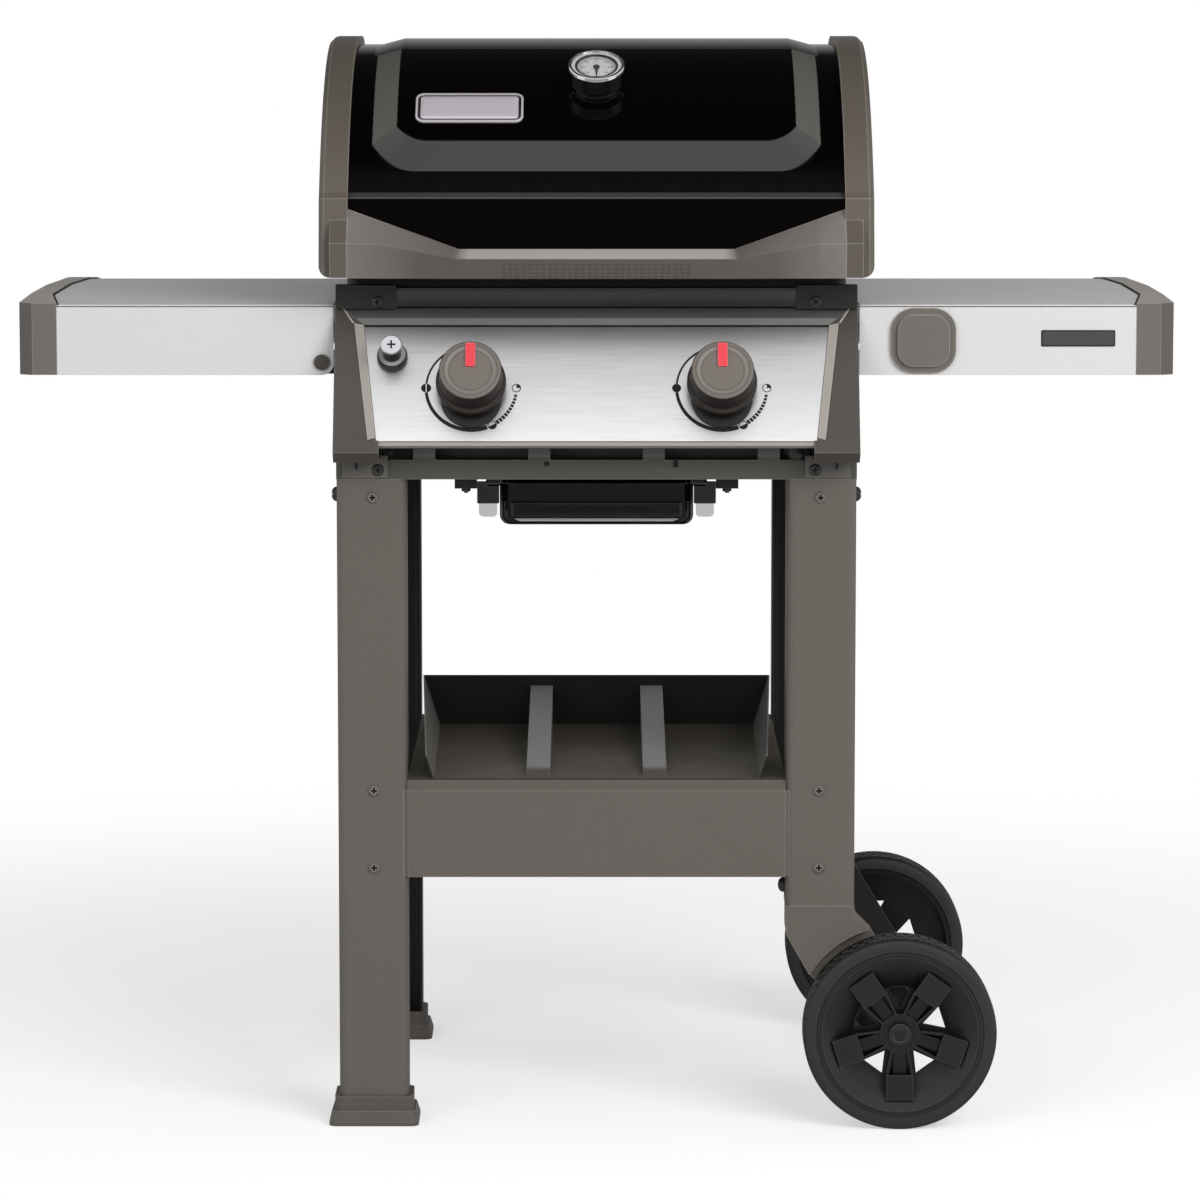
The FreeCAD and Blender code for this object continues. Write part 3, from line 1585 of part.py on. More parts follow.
def make_tray_rails():
    """A channel each side of the tray, hung from both cross rails, with a holder and a tab."""
    wall = d.tray_rail_wall
    rails, clips = [], []
    reach = d.cross_rail_depth / 2
    front, rear = cart_face["front"] + reach, cart_face["rear"]
    low = tray_top - d.tray_wall - d.seat_gap
    high = tray_top + d.seat_gap
    for hand, side in SIDES.items():
        inner = side * (d.tray_half_width + d.seat_gap)
        web = side * (d.tray_half_width + d.tray_lip + d.seat_gap)
        edge = web + side * wall
        body = new_body(f"tray_rail_{hand}", keep=False)

        def channel(bottom, outside):
            return [
                (inner, bottom),
                (outside, bottom),
                (outside, high + wall),
                (inner, high + wall),
                (inner, high),
                (web, high),
                (web, low),
                (inner, low),
            ]

        pad(body, "XZ", front, rear, channel(low - wall, edge))
        floor = high + wall - d.tray_holder_height
        holder_edge = inner + side * d.tray_holder_width
        holder_front = front - d.tray_holder_depth
        pad(body, "XZ", holder_front, front, channel(floor, holder_edge))
        hanger = rectangle(
            web, holder_edge + side * d.tray_hanger_width, d.leg_top - wall, d.leg_top
        )
        strap = rectangle(web, edge, high, d.leg_top)
        foot = rectangle(
            holder_edge + side * d.seat_gap,
            holder_edge + side * d.tray_hanger_width,
            d.leg_top - d.tray_hanger_height,
            d.leg_top,
        )
        for start in (front, rear - reach):
            pad(body, "XZ", start, start + reach, hanger)
            pad(body, "XZ", start, start + reach, strap)
        pad(body, "XZ", front, front + wall, foot)
        rails.append(body)
        clip = new_body(f"tray_clip_{hand}", keep=False)
        start = inner + side * (d.tray_holder_width - d.tray_tab_width) / 2
        face = rectangle(start, start + side * d.tray_tab_width, floor - d.tray_tab_height, floor)
        pad(clip, "XZ", holder_front, holder_front + wall, face)
        clips.append(clip)
    group("tray_rails", *rails)
    group("tray_clips", *clips)


# ---- side tables -----------------------------------------------------------------------------------

table_bottom = table_top - d.table_height
pivot_height = table_bottom + pivot_place - table_inner + d.pivot_rise


def corner_cut(side):
    """What is cut from a table's lower inner corner so that it turns clear of its mount."""
    inner = side * table_inner
    reach = pivot_place - table_inner
    beyond = side * (table_inner - reach)
    return [
        (inner, pivot_height),
        (inner, table_bottom, reach),
        (side * (pivot_place + d.pivot_rise), table_bottom),
        (side * (pivot_place + d.pivot_rise), table_bottom - reach),
        (beyond, table_bottom - reach),
        (beyond, pivot_height),
    ]


def make_table(hand):
    """A folded sheet with front and rear aprons, its end cap and the frame under it."""
    side = SIDES[hand]
    wall, front, rear, top = d.table_wall, table_front, table_rear, table_top
    inner, end = side * table_inner, side * table_end
    body = new_body(f"table_{hand}")
    section = [
        (front, table_bottom),
        (front, top, d.table_round),
        (rear, top, d.table_round),
        (rear, table_bottom),
        (rear - wall, table_bottom),
        (rear - wall, top - wall, d.table_round - wall),
        (front + wall, top - wall, d.table_round - wall),
        (front + wall, table_bottom),
    ]
    pad(body, "YZ", inner, end, section)
    pad(body, "XY", top - wall, top, table_tongue(side, as_size(0)))
    if hand == "left":
        pocket(body, "XZ", front, rear, corner_cut(side))
        hole = (side * pivot_place, pivot_height, d.pivot_radius + d.seat_gap)
        pocket(body, "XZ", front, rear, hole)
    make_table_cap(hand)
    make_table_frame(hand)


def table_tongue(side, grow):
    """The bowed outer edge of a table's top sheet, which lies in its end cap."""
    end, bow = table_end - d.table_round, table_end + d.table_bow
    near, far = table_front + d.table_round, table_rear - d.table_round
    depth = far - near
    return [
        (side * end, near - grow),
        (side * (table_end + grow), near - grow),
        (side * (bow + grow), near + depth / 3, depth / 2),
        (side * (bow + grow), far - depth / 4, depth / 3),
        (side * (bow - d.table_bow / 2), far + grow),
        (side * end, far + grow),
    ]


def make_table_cap(hand):
    """The moulded end of a table, bowed in plan and open below."""
    side = SIDES[hand]
    front, rear, end = table_front, table_rear, table_end
    wall = d.table_cap_wall
    body = new_body(f"table_cap_{hand}")
    depth = rear - front

    def plan(inset):
        out = table_out - inset
        return [
            (side * (end + inset), front + inset),
            (side * (end + d.table_cap_facet), front + inset),
            (side * (out - d.table_round), front + d.table_cap_round + inset),
            (side * out, front + depth / 3),
            (side * out, rear - depth / 3),
            (side * (out - d.table_cap_round), rear - inset, d.table_cap_round),
            (side * (end + inset), rear - inset),
        ]

    top = table_top + d.table_cap_proud
    pad(body, "XY", table_bottom, top, plan(as_size(0)))
    pocket(body, "XY", table_bottom, top - wall, plan(wall))
    seat = table_top - d.table_wall - d.seat_gap
    pocket(body, "XY", seat, top, table_tongue(side, d.seat_gap * 2))


def make_table_frame(hand):
    """Two flat bars against the aprons, joined across the table's outer end."""
    side = SIDES[hand]
    wall = d.frame_wall
    body = new_body(f"table_frame_{hand}")
    half = d.table_bar_height / 2
    low, high = pivot_height - half, pivot_height + half
    tip = side * (pivot_place - half)
    end = side * (table_end - d.table_cap_wall)
    bar = [(tip, low, half - d.end_flat), (end, low), (end, high), (tip, high, half - d.end_flat)]
    front, rear = table_front + d.table_wall, table_rear - d.table_wall
    pad(body, "XZ", front, front + wall, bar)
    pad(body, "XZ", rear - wall, rear, bar)
    pad(body, "YZ", end, end - side * wall, rectangle(front, rear, low, high))
    hole = (side * pivot_place, pivot_height, d.pivot_radius + d.run_gap)
    pocket(body, "XZ", front, rear, hole)


def make_table_mounts():
    """A plate on each side of the firebox with an arm beside each pivot, and the pins."""
    mounts, pins = [], []
    wall = d.mount_wall
    gap = d.table_wall + d.frame_wall + d.seat_gap
    front, rear = table_front + gap, table_rear - gap
    for hand, side in SIDES.items():
        plate = new_body(f"table_mount_{hand}", keep=False)
        outer = side * (table_inner - d.pivot_rise - d.seat_gap * 2)
        inner = outer - side * wall
        low = pivot_height - pivot_place + table_inner
        pad(plate, "YZ", inner, outer, rectangle(front, rear, low, mount_top))
        lug = pivot_place - table_inner
        arm = [
            (inner, pivot_height - lug),
            (side * (pivot_place + lug), pivot_height - lug, lug - d.end_flat),
            (side * (pivot_place + lug), pivot_height + lug, lug - d.end_flat),
            (inner, pivot_height + lug),
        ]
        pad(plate, "XZ", front, front + wall, arm)
        pad(plate, "XZ", rear - wall, rear, arm)
        for place in (firebox_front + d.mount_spacer, firebox_rear - d.mount_spacer * 2):
            spacer = rectangle(place, place + d.mount_spacer, pivot_height, mount_top)
            pad(plate, "YZ", side * firebox_half_width, inner, spacer)
        hole = (side * pivot_place, pivot_height, d.pivot_radius + d.run_gap)
        pocket(plate, "XZ", front, rear, hole)
        mounts.append(plate)
        length = gap + wall
        for end, sense, face in (("front", -1, table_front), ("rear", 1, table_rear)):
            turn = FORWARD if sense < 0 else BACKWARD
            name = f"pivot_{end}_{hand}"
            # the right table is fixed, so its pins stop behind the aprons
            out = d.seat_gap if hand == "left" else -d.table_wall - d.run_gap
            place = (side * pivot_place, face + sense * out, pivot_height)
            reach = length + out
            pin = rod(f"{name}_pin", d.pivot_radius, reach, moved(place, turn, -reach), turn)
            if hand == "left":
                cap = rod(f"{name}_cap", d.pivot_cap_radius, d.screw_head_height, place, turn)
                pin = union(name, pin, cap)
            pins.append(pin)
    group("table_mounts", *mounts)
    group("table_pivots", *pins)


def make_socket_cover():
    """The rounded square cover over the socket in the right table's apron."""
    body = new_body("socket_cover")
    half = d.cover_size / 2
    x, z, front = cover_place, cover_height, table_front

    def square(size, radius):
        return rectangle(x - size, x + size, z - size, z + size, radius)

    pad(body, "XZ", front - d.cover_thickness / 2, front, square(half, d.cover_round))
    step = d.cover_size / 10
    pad(body, "XZ", front - d.cover_thickness, front, square(half - step, d.cover_round - step))


def make_corner_brackets():
    """The blocks at the ends of the firebox's front bar."""
    blocks = []
    for hand, side in SIDES.items():
        inner = side * (bar_half_width + d.seat_gap)
        outer = side * (d.cart_half_width - d.seat_gap)
        top = firebox_bar_top + d.brace_wall * 2
        body = new_body(f"corner_bracket_{hand}", keep=False)
        shape = rectangle(inner, outer, bracket_face, firebox_front)
        pad(body, "XY", panel_end_top + d.seat_gap, top, shape)
        hole = (side * ear_screw_place, bracket_screw_height, d.screw_radius + d.seat_gap)
        pocket(body, "XZ", bracket_face, bracket_face + d.screw_length + d.seat_gap, hole)
        blocks.append(body)
    group("corner_brackets", *blocks)


make_firebox()
for hand in SIDES:
    make_grate(hand)
make_heat_bars()
make_burners()
make_manifold()
make_valves()
for hand in SIDES:
    make_stem(hand)
make_panel()
make_panel_top()
for hand in SIDES:
    make_panel_end(hand)
make_bezels()
for hand in SIDES:
    make_knob(hand)
make_igniter()
make_tray()
make_tray_rails()
for hand in SIDES:
    make_table(hand)
make_table_mounts()
make_socket_cover()
make_corner_brackets()


# ---- lid -------------------------------------------------------------------------------------------

crease_y = lid_crease_place + d.lid_crease_step
crease_z = lid_crease_height + d.lid_crease_step
slope_run = cosine(d.lid_slope) / sine(d.lid_slope)
shoulder_y = crease_y + (lid_top - crease_z) * slope_run
arc_y = shoulder_y + d.lid_round * sine(d.lid_slope / 2) / cosine(d.lid_slope / 2)
arc_z = lid_top - d.lid_round
raised = d.lid_round + d.lid_raise


def lid_section(out, bottom):
    """The lid's side view, grown outwards by a distance and ending at a height."""
    return [
        (lid_front - out, bottom),
        (lid_crease_place - out, lid_crease_height),
        (crease_y - out, crease_z),
        (shoulder_y - out * (1 - slope_run), lid_top + out, d.lid_round + out),
        (lid_rear + out, lid_top + out, d.lid_rear_round + out),
        (lid_rear + out, bottom),
    ]


def lid_face(height):
    """Where the lid's lower front face stands at a height."""
    lean = (lid_crease_place - lid_front) / (lid_crease_height - lid_bottom)
    return lid_front + (height - lid_bottom) * lean


def raise_section():
    """The raised panel's cross-section about the lid's arc: flat on top with wide bevels."""
    wide = raise_half_width
    top = wide - d.raise_bevel
    base = d.lid_round
    low = base - d.lid_wall / 2
    return [(-wide, low), (-wide, base), (-top, raised), (top, raised), (wide, base), (wide, low)]


def make_lid_raise():
    """The raised panel: its section swept about the arc, kept where a bevelled foot allows."""
    sweep = new_body("lid_raise_sweep", keep=False)
    sketch = new_sketch(sweep, "XZ", arc_y)
    bind(sketch, "AttachmentOffset.Base.y", arc_z)
    outline(sketch, raise_section())
    turned = sweep.newObject("PartDesign::Revolution", "lid_raise_turned")
    turned.Profile = sketch
    turned.ReferenceAxis = (sketch, ["H_Axis"])
    bind(turned, "Angle", d.raise_foot + d.raise_bevel / 2)
    sweep.Tip = turned
    foot = new_body("lid_raise_foot", keep=False)
    half, narrow = raise_half_width, d.raise_bevel
    bevel = d.raise_foot_bevel / 2
    reach = d.lid_round
    bend = d.raise_foot_narrow
    low = [
        (-half, -bevel, d.raise_round),
        (half, -bevel, d.raise_round),
        (half, reach),
        (-half, reach),
    ]
    high = [
        (-half + narrow + bend, bevel, d.raise_inner_round),
        (half - narrow - bend, bevel, d.raise_inner_round),
        (half - narrow, reach),
        (-half + narrow, reach),
    ]
    loft(foot, "XY", d.lid_round, low, raised, high)
    pad(foot, "XY", 0, d.lid_round, low)
    put(foot, 0, arc_y, arc_z, tilt=d.raise_foot)
    panel = doc.addObject("Part::Common", "lid_raise")
    panel.Base, panel.Tool = sweep, foot
    return panel


def make_lid_shell():
    """The enamelled shell with its raised panel, and an ear at each hinge."""
    wall = d.lid_wall
    body = new_body("lid_shell_body", keep=False)
    half = lid_half_width
    pad(body, "YZ", -half, half, lid_section(as_size(0), lid_bottom))
    pocket(body, "YZ", -half, half, lid_section(-wall, lid_bottom))
    for side in SIDES.values():
        inner = side * (half - d.hinge_inset)
        ear = [
            (hinge_place - d.hinge_ear, hinge_height - d.hinge_ear, d.hinge_ear - d.end_flat),
            (hinge_place + d.hinge_ear, hinge_height - d.hinge_ear, d.hinge_ear - d.end_flat),
            (lid_rear - wall, lid_bottom),
            (lid_rear - wall, lid_bottom + d.hinge_ear * 3),
            (hinge_place - d.hinge_ear, hinge_height + d.hinge_ear),
        ]
        pad(body, "YZ", inner, inner + side * d.hinge_wall, ear)
    pin = (hinge_place, hinge_height, d.hinge_pin_radius + d.run_gap)
    pocket(body, "YZ", -half, half, pin)
    probe = rod("probe_hole", d.probe_radius + d.seat_gap, d.probe_length, (0, 0, 0))
    put(probe, *gauge_place(-d.probe_length / 2), tilt=90 - d.gauge_rise)
    whole = union("lid_shell_whole", body, make_lid_raise())
    node(difference("lid_shell_bored", whole, probe), "lid_shell")


def handle_section(out, rise, top):
    """The handle's side view: against the lid's face, out to its nose and back underneath."""
    low = lid_bottom
    return [
        (lid_face(low), low),
        (lid_face(low) - out * d.handle_underside / d.handle_out, low),
        (lid_face(low) - out, low + rise),
        (lid_face(low + top), low + top),
    ]


def handle_end():
    return handle_section(d.handle_end_out, d.handle_end_height, d.handle_end_top)


def make_handle():
    """A bar across the lid's lower edge that sweeps up into the end caps."""
    body = new_body("lid_handle")
    half, turn, end = d.handle_half_width, handle_bend, lid_half_width
    middle = handle_section(d.handle_out, d.handle_height, d.handle_height + d.handle_lip)
    bend = handle_section(d.handle_end_out + d.handle_lip, d.handle_end_height, d.handle_bend_top)
    pad(body, "YZ", -half, half, middle)
    for side in SIDES.values():
        loft(body, "YZ", side * half, middle, side * turn, bend)
        loft(body, "YZ", side * turn, bend, side * end, handle_end())


def make_lid_cap(hand):
    """A cast side of the lid, hollow towards the shell, with the handle's end running into it."""
    side = SIDES[hand]
    inner = side * lid_half_width
    outer = inner + side * d.lid_cap_width
    edge = outer - side * d.lid_cap_edge
    wall = d.lid_cap_wall
    body = new_body(f"lid_cap_{hand}")
    full = lid_section(d.lid_cap_proud, lid_bottom)
    pad(body, "YZ", inner, edge, full)
    loft(body, "YZ", edge, full, outer, lid_section(d.lid_cap_proud - d.lid_cap_edge, lid_bottom))
    pad(body, "YZ", inner, outer - side * d.lid_cap_round, handle_end())
    cavity = lid_section(-d.lid_wall, lid_bottom)
    pocket(body, "YZ", inner, outer - side * wall, cavity)
    corner = d.lid_cap_round
    shaving = [
        (outer, lid_bottom, corner - d.run_gap),
        (outer, lid_bottom + corner),
        (outer + side * corner, lid_bottom + corner),
        (outer + side * corner, lid_bottom - corner),
        (outer - side * corner, lid_bottom - corner),
        (outer - side * corner, lid_bottom),
    ]
    front = lid_front - d.handle_out * 2
    pocket(body, "XZ", front, lid_rear + d.handle_out, shaving)


def make_hinges():
    """A plate behind the firebox at each end of the lid, with the pin that the lid turns on."""
    plates = []
    for hand, side in SIDES.items():
        ear = side * (lid_half_width - d.hinge_inset)
        near = ear - side * d.seat_gap
        far = near - side * d.hinge_wall
        reach = d.hinge_ear
        body = new_body(f"hinge_plate_{hand}", keep=False)
        shape = [
            (firebox_rear, hinge_height - reach * 4),
            (hinge_place + reach, hinge_height - reach * 2),
            (hinge_place + reach, hinge_height + reach, reach - d.end_flat),
            (firebox_rear, hinge_height + reach, reach - d.end_flat),
        ]
        pad(body, "YZ", far, near, shape)
        pin = rod(
            f"hinge_pin_{hand}",
            d.hinge_pin_radius,
            d.hinge_wall * 3,
            (far, hinge_place, hinge_height),
            RIGHTWARD if side > 0 else LEFTWARD,
        )
        plates.append(union(f"hinge_{hand}", body, pin))
    group("hinge_brackets", *plates)


def gauge_place(out=0):
    reach = raised + out
    return 0, arc_y - reach * cosine(d.gauge_rise), arc_z + reach * sine(d.gauge_rise)


def make_gauge():
    """The lid's thermometer: a case with a probe, a dial, a pointer on its pin and a lens."""
    tilt = 90 - d.gauge_rise
    radius, height, recess = d.gauge_radius, d.gauge_height, d.gauge_recess
    inner = radius - d.gauge_rim
    case = new_body("thermometer_case")
    revolve(
        case,
        [
            (0, 0),
            (d.gauge_base_radius, 0),
            (d.gauge_base_radius, d.gauge_rim),
            (radius - d.gauge_lip, d.gauge_flare_height),
            (radius, height - d.gauge_rim, d.gauge_lip * 2),
            (radius - d.gauge_lip, height, d.gauge_lip * 2),
            (inner, height),
            (inner, height - recess),
            (0, height - recess),
        ],
    )
    pad(case, "XY", -d.probe_length, 0, (0, 0, d.probe_radius))
    put(case, *gauge_place(), tilt=tilt)
    dial_top = height - recess + d.dial_wall
    dial = new_body("thermometer_dial")
    pad(dial, "XY", height - recess, dial_top, (0, 0, inner - d.seat_gap))
    put(dial, *gauge_place(), tilt=tilt)
    pointer = new_body("thermometer_pointer")
    low = dial_top + d.seat_gap
    pad(pointer, "XY", low, low + d.dial_wall, (0, 0, d.gauge_rim))
    length = inner - d.gauge_pointer_gap
    half = d.dial_wall
    needle = [(-half * 2, 0), (0, -length), (half * 2, 0), (0, length / 4)]
    pad(pointer, "XY", low, low + d.dial_wall, needle)
    put(pointer, *gauge_place(), tilt=tilt)
    lens = new_body("thermometer_lens")
    pad(lens, "XY", height - d.dial_wall * 2, height - d.dial_wall, (0, 0, inner - d.run_gap))
    put(lens, *gauge_place(), tilt=tilt)


make_lid_shell()
make_handle()
for hand in SIDES:
    make_lid_cap(hand)
make_hinges()
make_gauge()


# ---- end of the model --------------------------------------------------------------------------

doc.recompute()
faults = [each.Name for each in doc.Objects if {"Invalid", "Error"} & set(each.State)]
faults += [each.Label for each in nodes if each.Shape.isNull() or not each.Shape.isValid()]
if faults:
    raise RuntimeError(f"these did not build: {faults}")
os.makedirs("parts", exist_ok=True)
for each in nodes:
    each.Shape.exportStep(f"parts/{each.Label}.step")
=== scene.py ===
"""Looks for a two-burner gas barbecue grill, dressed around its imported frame.

The file is laid out as an add-on and is run as a script. Lengths are metres in the frame's own
axes: +X is the cook's right hand, -Y is the front, +Z is up, and the ground is at Z = 0.
"""
import json
import math

import bmesh
import bpy
from bpy.props import FloatProperty, FloatVectorProperty, IntProperty, PointerProperty
from mathutils import Matrix, Vector
from mathutils.bvhtree import BVHTree

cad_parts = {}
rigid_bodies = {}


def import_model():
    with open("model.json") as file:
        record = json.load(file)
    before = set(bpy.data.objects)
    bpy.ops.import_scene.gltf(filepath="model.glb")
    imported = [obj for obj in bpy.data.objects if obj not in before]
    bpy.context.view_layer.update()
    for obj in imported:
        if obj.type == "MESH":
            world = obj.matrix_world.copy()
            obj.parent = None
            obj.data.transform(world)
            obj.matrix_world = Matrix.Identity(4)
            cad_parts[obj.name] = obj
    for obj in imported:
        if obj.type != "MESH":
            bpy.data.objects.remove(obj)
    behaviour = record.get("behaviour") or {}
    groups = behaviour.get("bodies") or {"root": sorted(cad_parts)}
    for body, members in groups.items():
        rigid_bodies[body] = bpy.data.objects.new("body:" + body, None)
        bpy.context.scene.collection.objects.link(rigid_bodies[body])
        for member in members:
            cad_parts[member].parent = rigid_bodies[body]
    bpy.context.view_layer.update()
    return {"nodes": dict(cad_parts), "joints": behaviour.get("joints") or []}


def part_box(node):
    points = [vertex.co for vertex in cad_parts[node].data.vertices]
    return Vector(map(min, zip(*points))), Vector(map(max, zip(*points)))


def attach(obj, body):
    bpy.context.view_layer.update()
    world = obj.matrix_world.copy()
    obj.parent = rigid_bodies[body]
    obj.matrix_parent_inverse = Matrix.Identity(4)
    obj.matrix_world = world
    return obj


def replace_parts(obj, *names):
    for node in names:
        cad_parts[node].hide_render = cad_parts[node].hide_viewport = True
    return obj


bl_info = {
    "name": "Gas Barbecue Grill",
    "version": (1, 0, 0),
    "blender": (4, 5, 0),
    "location": "View3D > Sidebar > Grill",
    "description": "Dresses a two-burner gas barbecue grill with its finishes and small parts",
    "category": "Object",
}

for leftover in list(bpy.data.objects):
    bpy.data.objects.remove(leftover)
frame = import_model()
NODES = frame["nodes"]
JOINTS = {joint["name"]: joint for joint in frame["joints"]}
MM = 0.001
RIGHT = Vector((1, 0, 0))
BACK = Vector((0, 1, 0))
UP = Vector((0, 0, 1))

# the lid's barrel: the middle of its curve, and how far out its sheet and its raised field lie
BARREL_MIDDLE = Vector((0, 34.67 * MM, 800 * MM))
BARREL_RADIUS = 338 * MM
FIELD_RISE = 7.5 * MM
CREASE_HEIGHT = 983.8 * MM
CREASE_STEP = 6 * MM
CROWN_HEIGHT = 1000 * MM

# where small parts sit: under the tray's hangers, on the right front leg, on the panel's ears
HANGER_FLANGE = 677.4 * MM
LEG_BOLT_DEPTH = -203 * MM
EAR_FACE = -231 * MM


# ---- nodes and colours -------------------------------------------------------------------------


def linear(code):
    """A hex colour as the linear red, green, blue and alpha that a shader takes."""
    shares = [int(code[at : at + 2], 16) / 255 for at in (1, 3, 5)]
    return [v / 12.92 if v <= 0.04045 else ((v + 0.055) / 1.055) ** 2.4 for v in shares] + [1.0]


def add(tree, kind, values=None, feeds=None, **settings):
    """Add one node: its own settings, its sockets' values and what feeds its sockets.

    A feed is a socket, or a node whose first output is meant.
    """
    made = tree.nodes.new(kind)
    for name, value in settings.items():
        setattr(made, name, value)
    for socket, value in (values or {}).items():
        made.inputs[socket].default_value = value
    for socket, source in (feeds or {}).items():
        tree.links.new(getattr(source, "outputs", [source])[0], made.inputs[socket])
    return made


# a colour Mix node's sockets, by number, because its names repeat
SHARE, FIRST, SECOND, MIXED = 0, 6, 7, 2


def new_surface(name, **shader_values):
    """A material with its shader, and the coordinates that every pattern on it reads."""
    material = bpy.data.materials.new(name)
    material.use_nodes = True
    tree = material.node_tree
    tree.nodes.clear()
    shader = add(tree, "ShaderNodeBsdfPrincipled", shader_values)
    add(tree, "ShaderNodeOutputMaterial", feeds={"Surface": shader.outputs["BSDF"]})
    place = add(tree, "ShaderNodeTexCoord")
    return material, tree, shader, place


def blended(tree, shader, share, code):
    """Lay one more colour over what feeds the shader's base colour, by a share."""
    under = shader.inputs["Base Color"].links[0].from_socket
    over = add(
        tree, "ShaderNodeMix", {SECOND: linear(code)}, {SHARE: share, FIRST: under}, data_type="RGBA"
    )
    tree.links.new(over.outputs[MIXED], shader.inputs["Base Color"])


def between(tree, source, low, high, soft):
    """1 where a value is between two limits and 0 outside, with soft ends."""
    ends = ((low - soft, low + soft), (high + soft, high - soft))
    rise, fall = (
        add(tree, "ShaderNodeMapRange", {"From Min": start, "From Max": full}, {"Value": source})
        for start, full in ends
    )
    return add(tree, "ShaderNodeMath", feeds={0: rise, 1: fall}, operation="MULTIPLY")


def share_where(tree, place, *tests, most=1.0):
    """The share of a surface where every test holds.

    A test is (coordinate, axis, start, full), which rises from start to full, or (coordinate,
    axis, low, high, soft), which holds between two limits. An axis in lower case is read
    without its sign.
    """
    shares = []
    for coordinate, axis, *limits in tests:
        parts = add(tree, "ShaderNodeSeparateXYZ", feeds={0: place.outputs[coordinate]})
        value = parts.outputs[axis.upper()]
        if axis.islower():
            value = add(tree, "ShaderNodeMath", feeds={0: value}, operation="ABSOLUTE").outputs[0]
        if len(limits) == 3:
            shares.append(between(tree, value, *limits))
        else:
            ends = {"From Min": limits[0], "From Max": limits[1], "To Max": most}
            shares.append(add(tree, "ShaderNodeMapRange", ends, {"Value": value}))
    whole = shares[0]
    for share in shares[1:]:
        whole = add(tree, "ShaderNodeMath", feeds={0: whole, 1: share}, operation="MULTIPLY")
    return whole


def share_along(tree, source, axis, start, full):
    """The share that rises from start to full along an axis."""
    along = add(
        tree, "ShaderNodeVectorMath", {1: tuple(axis)}, {0: source}, operation="DOT_PRODUCT"
    ).outputs["Value"]
    return add(tree, "ShaderNodeMapRange", {"From Min": start, "From Max": full}, {"Value": along})


def tinted(surface, code, *tests, most=1.0):
    """Lay one more colour over a surface where every test holds."""
    _, tree, shader, place = surface
    blended(tree, shader, share_where(tree, place, *tests, most=most), code)


def dress(tree, shader, colours, share, sheen, rough, spread, relief, bump, depth):
    """Feed a shader: colours mixed by a share, roughness spread by a pattern, and a relief."""
    first, second = (linear(code) for code in colours)
    colour = add(
        tree, "ShaderNodeMix", {FIRST: first, SECOND: second}, {SHARE: share}, data_type="RGBA"
    )
    least, most = rough * (1 - spread), rough * (1 + spread)
    ends = {"From Min": 0.3, "From Max": 0.7, "To Min": least, "To Max": most}
    uneven = add(tree, "ShaderNodeMapRange", ends, {"Value": sheen})
    raised = add(tree, "ShaderNodeBump", {"Strength": bump, "Distance": depth}, {"Height": relief})
    tree.links.new(colour.outputs[MIXED], shader.inputs["Base Color"])
    tree.links.new(uneven.outputs["Result"], shader.inputs["Roughness"])
    tree.links.new(raised.outputs["Normal"], shader.inputs["Normal"])


def rub_edges(tree, shader, code):
    """Painted light along edges: another colour, mostly a paler painted highlight, where a
    smoothed normal leaves the true one.
    """
    rounded_off = add(tree, "ShaderNodeBevel", {"Radius": 1.3 * MM}, samples=4)
    facing_out = add(tree, "ShaderNodeNewGeometry")
    agree = add(
        tree,
        "ShaderNodeVectorMath",
        feeds={0: rounded_off, 1: facing_out.outputs["Normal"]},
        operation="DOT_PRODUCT",
    )
    edge_light_share = add(
        tree,
        "ShaderNodeMapRange",
        {"From Min": 0.998, "From Max": 0.95, "To Max": 0.85},
        {"Value": agree.outputs["Value"]},
    )
    blended(tree, shader, edge_light_share, code)


# ---- finishes ----------------------------------------------------------------------------------


def coating(name, base, fleck, grain_mm, rough, bump=0.06, edge=None, **more):
    """A sprayed or moulded skin: cloudy colour, pebbled grain, uneven sheen, and painted
    highlights along the edges.
    """
    material, tree, shader, place = new_surface(name, **more)
    cloud, grain = (
        add(
            tree,
            "ShaderNodeTexNoise",
            {"Scale": 1 / (size * MM), "Detail": detail, "Roughness": roughness},
            {"Vector": place.outputs["Object"]},
        ).outputs["Fac"]
        for size, detail, roughness in ((120, 3.0, 0.6), (grain_mm, 4.0, 0.55))
    )
    ends = {"From Min": 0.5, "From Max": 0.72, "To Max": 0.7}
    flecks = add(tree, "ShaderNodeMapRange", ends, {"Value": grain})
    share = add(
        tree,
        "ShaderNodeMath",
        {1: 0.3},
        {0: cloud, 2: flecks},
        operation="MULTIPLY_ADD",
        use_clamp=True,
    )
    colours = (base, fleck)
    dress(tree, shader, colours, share, cloud, rough, 0.14, grain, bump, 0.3 * MM)
    # edge is the colour of the painted highlight along the edges
    if edge:
        rub_edges(tree, shader, edge)
    return material, tree, shader, place


def powder_coat():
    # Powder coat on sheet steel: satin taupe with fine orange peel, and painted highlights on bends.
    # The faces turned forwards behind the front legs, the channels' insides, are painted near black
    # as shade.
    surface = coating("powder_coat", "#67615b", "#5c5650", 0.9, 0.5, 0.1, "#8d8780")
    tinted(surface, "#191715", ("Object", "Y", 0.0, 120 * MM), ("Normal", "Y", -0.5, -0.8))
    return surface[0]


def rail_coat():
    # The rail under the panel: the same film in a greyer, older batch.
    # Its upper tabs are a lighter grey.
    surface = coating("rail_powder_coat", "#525149", "#4a4943", 0.9, 0.5, 0.1, "#7a7974")
    low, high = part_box("cross_rails")
    tinted(surface, "#6a6a69", ("Object", "Z", low.z + 23 * MM, high.z + 5 * MM, 0.8 * MM))
    return surface[0]


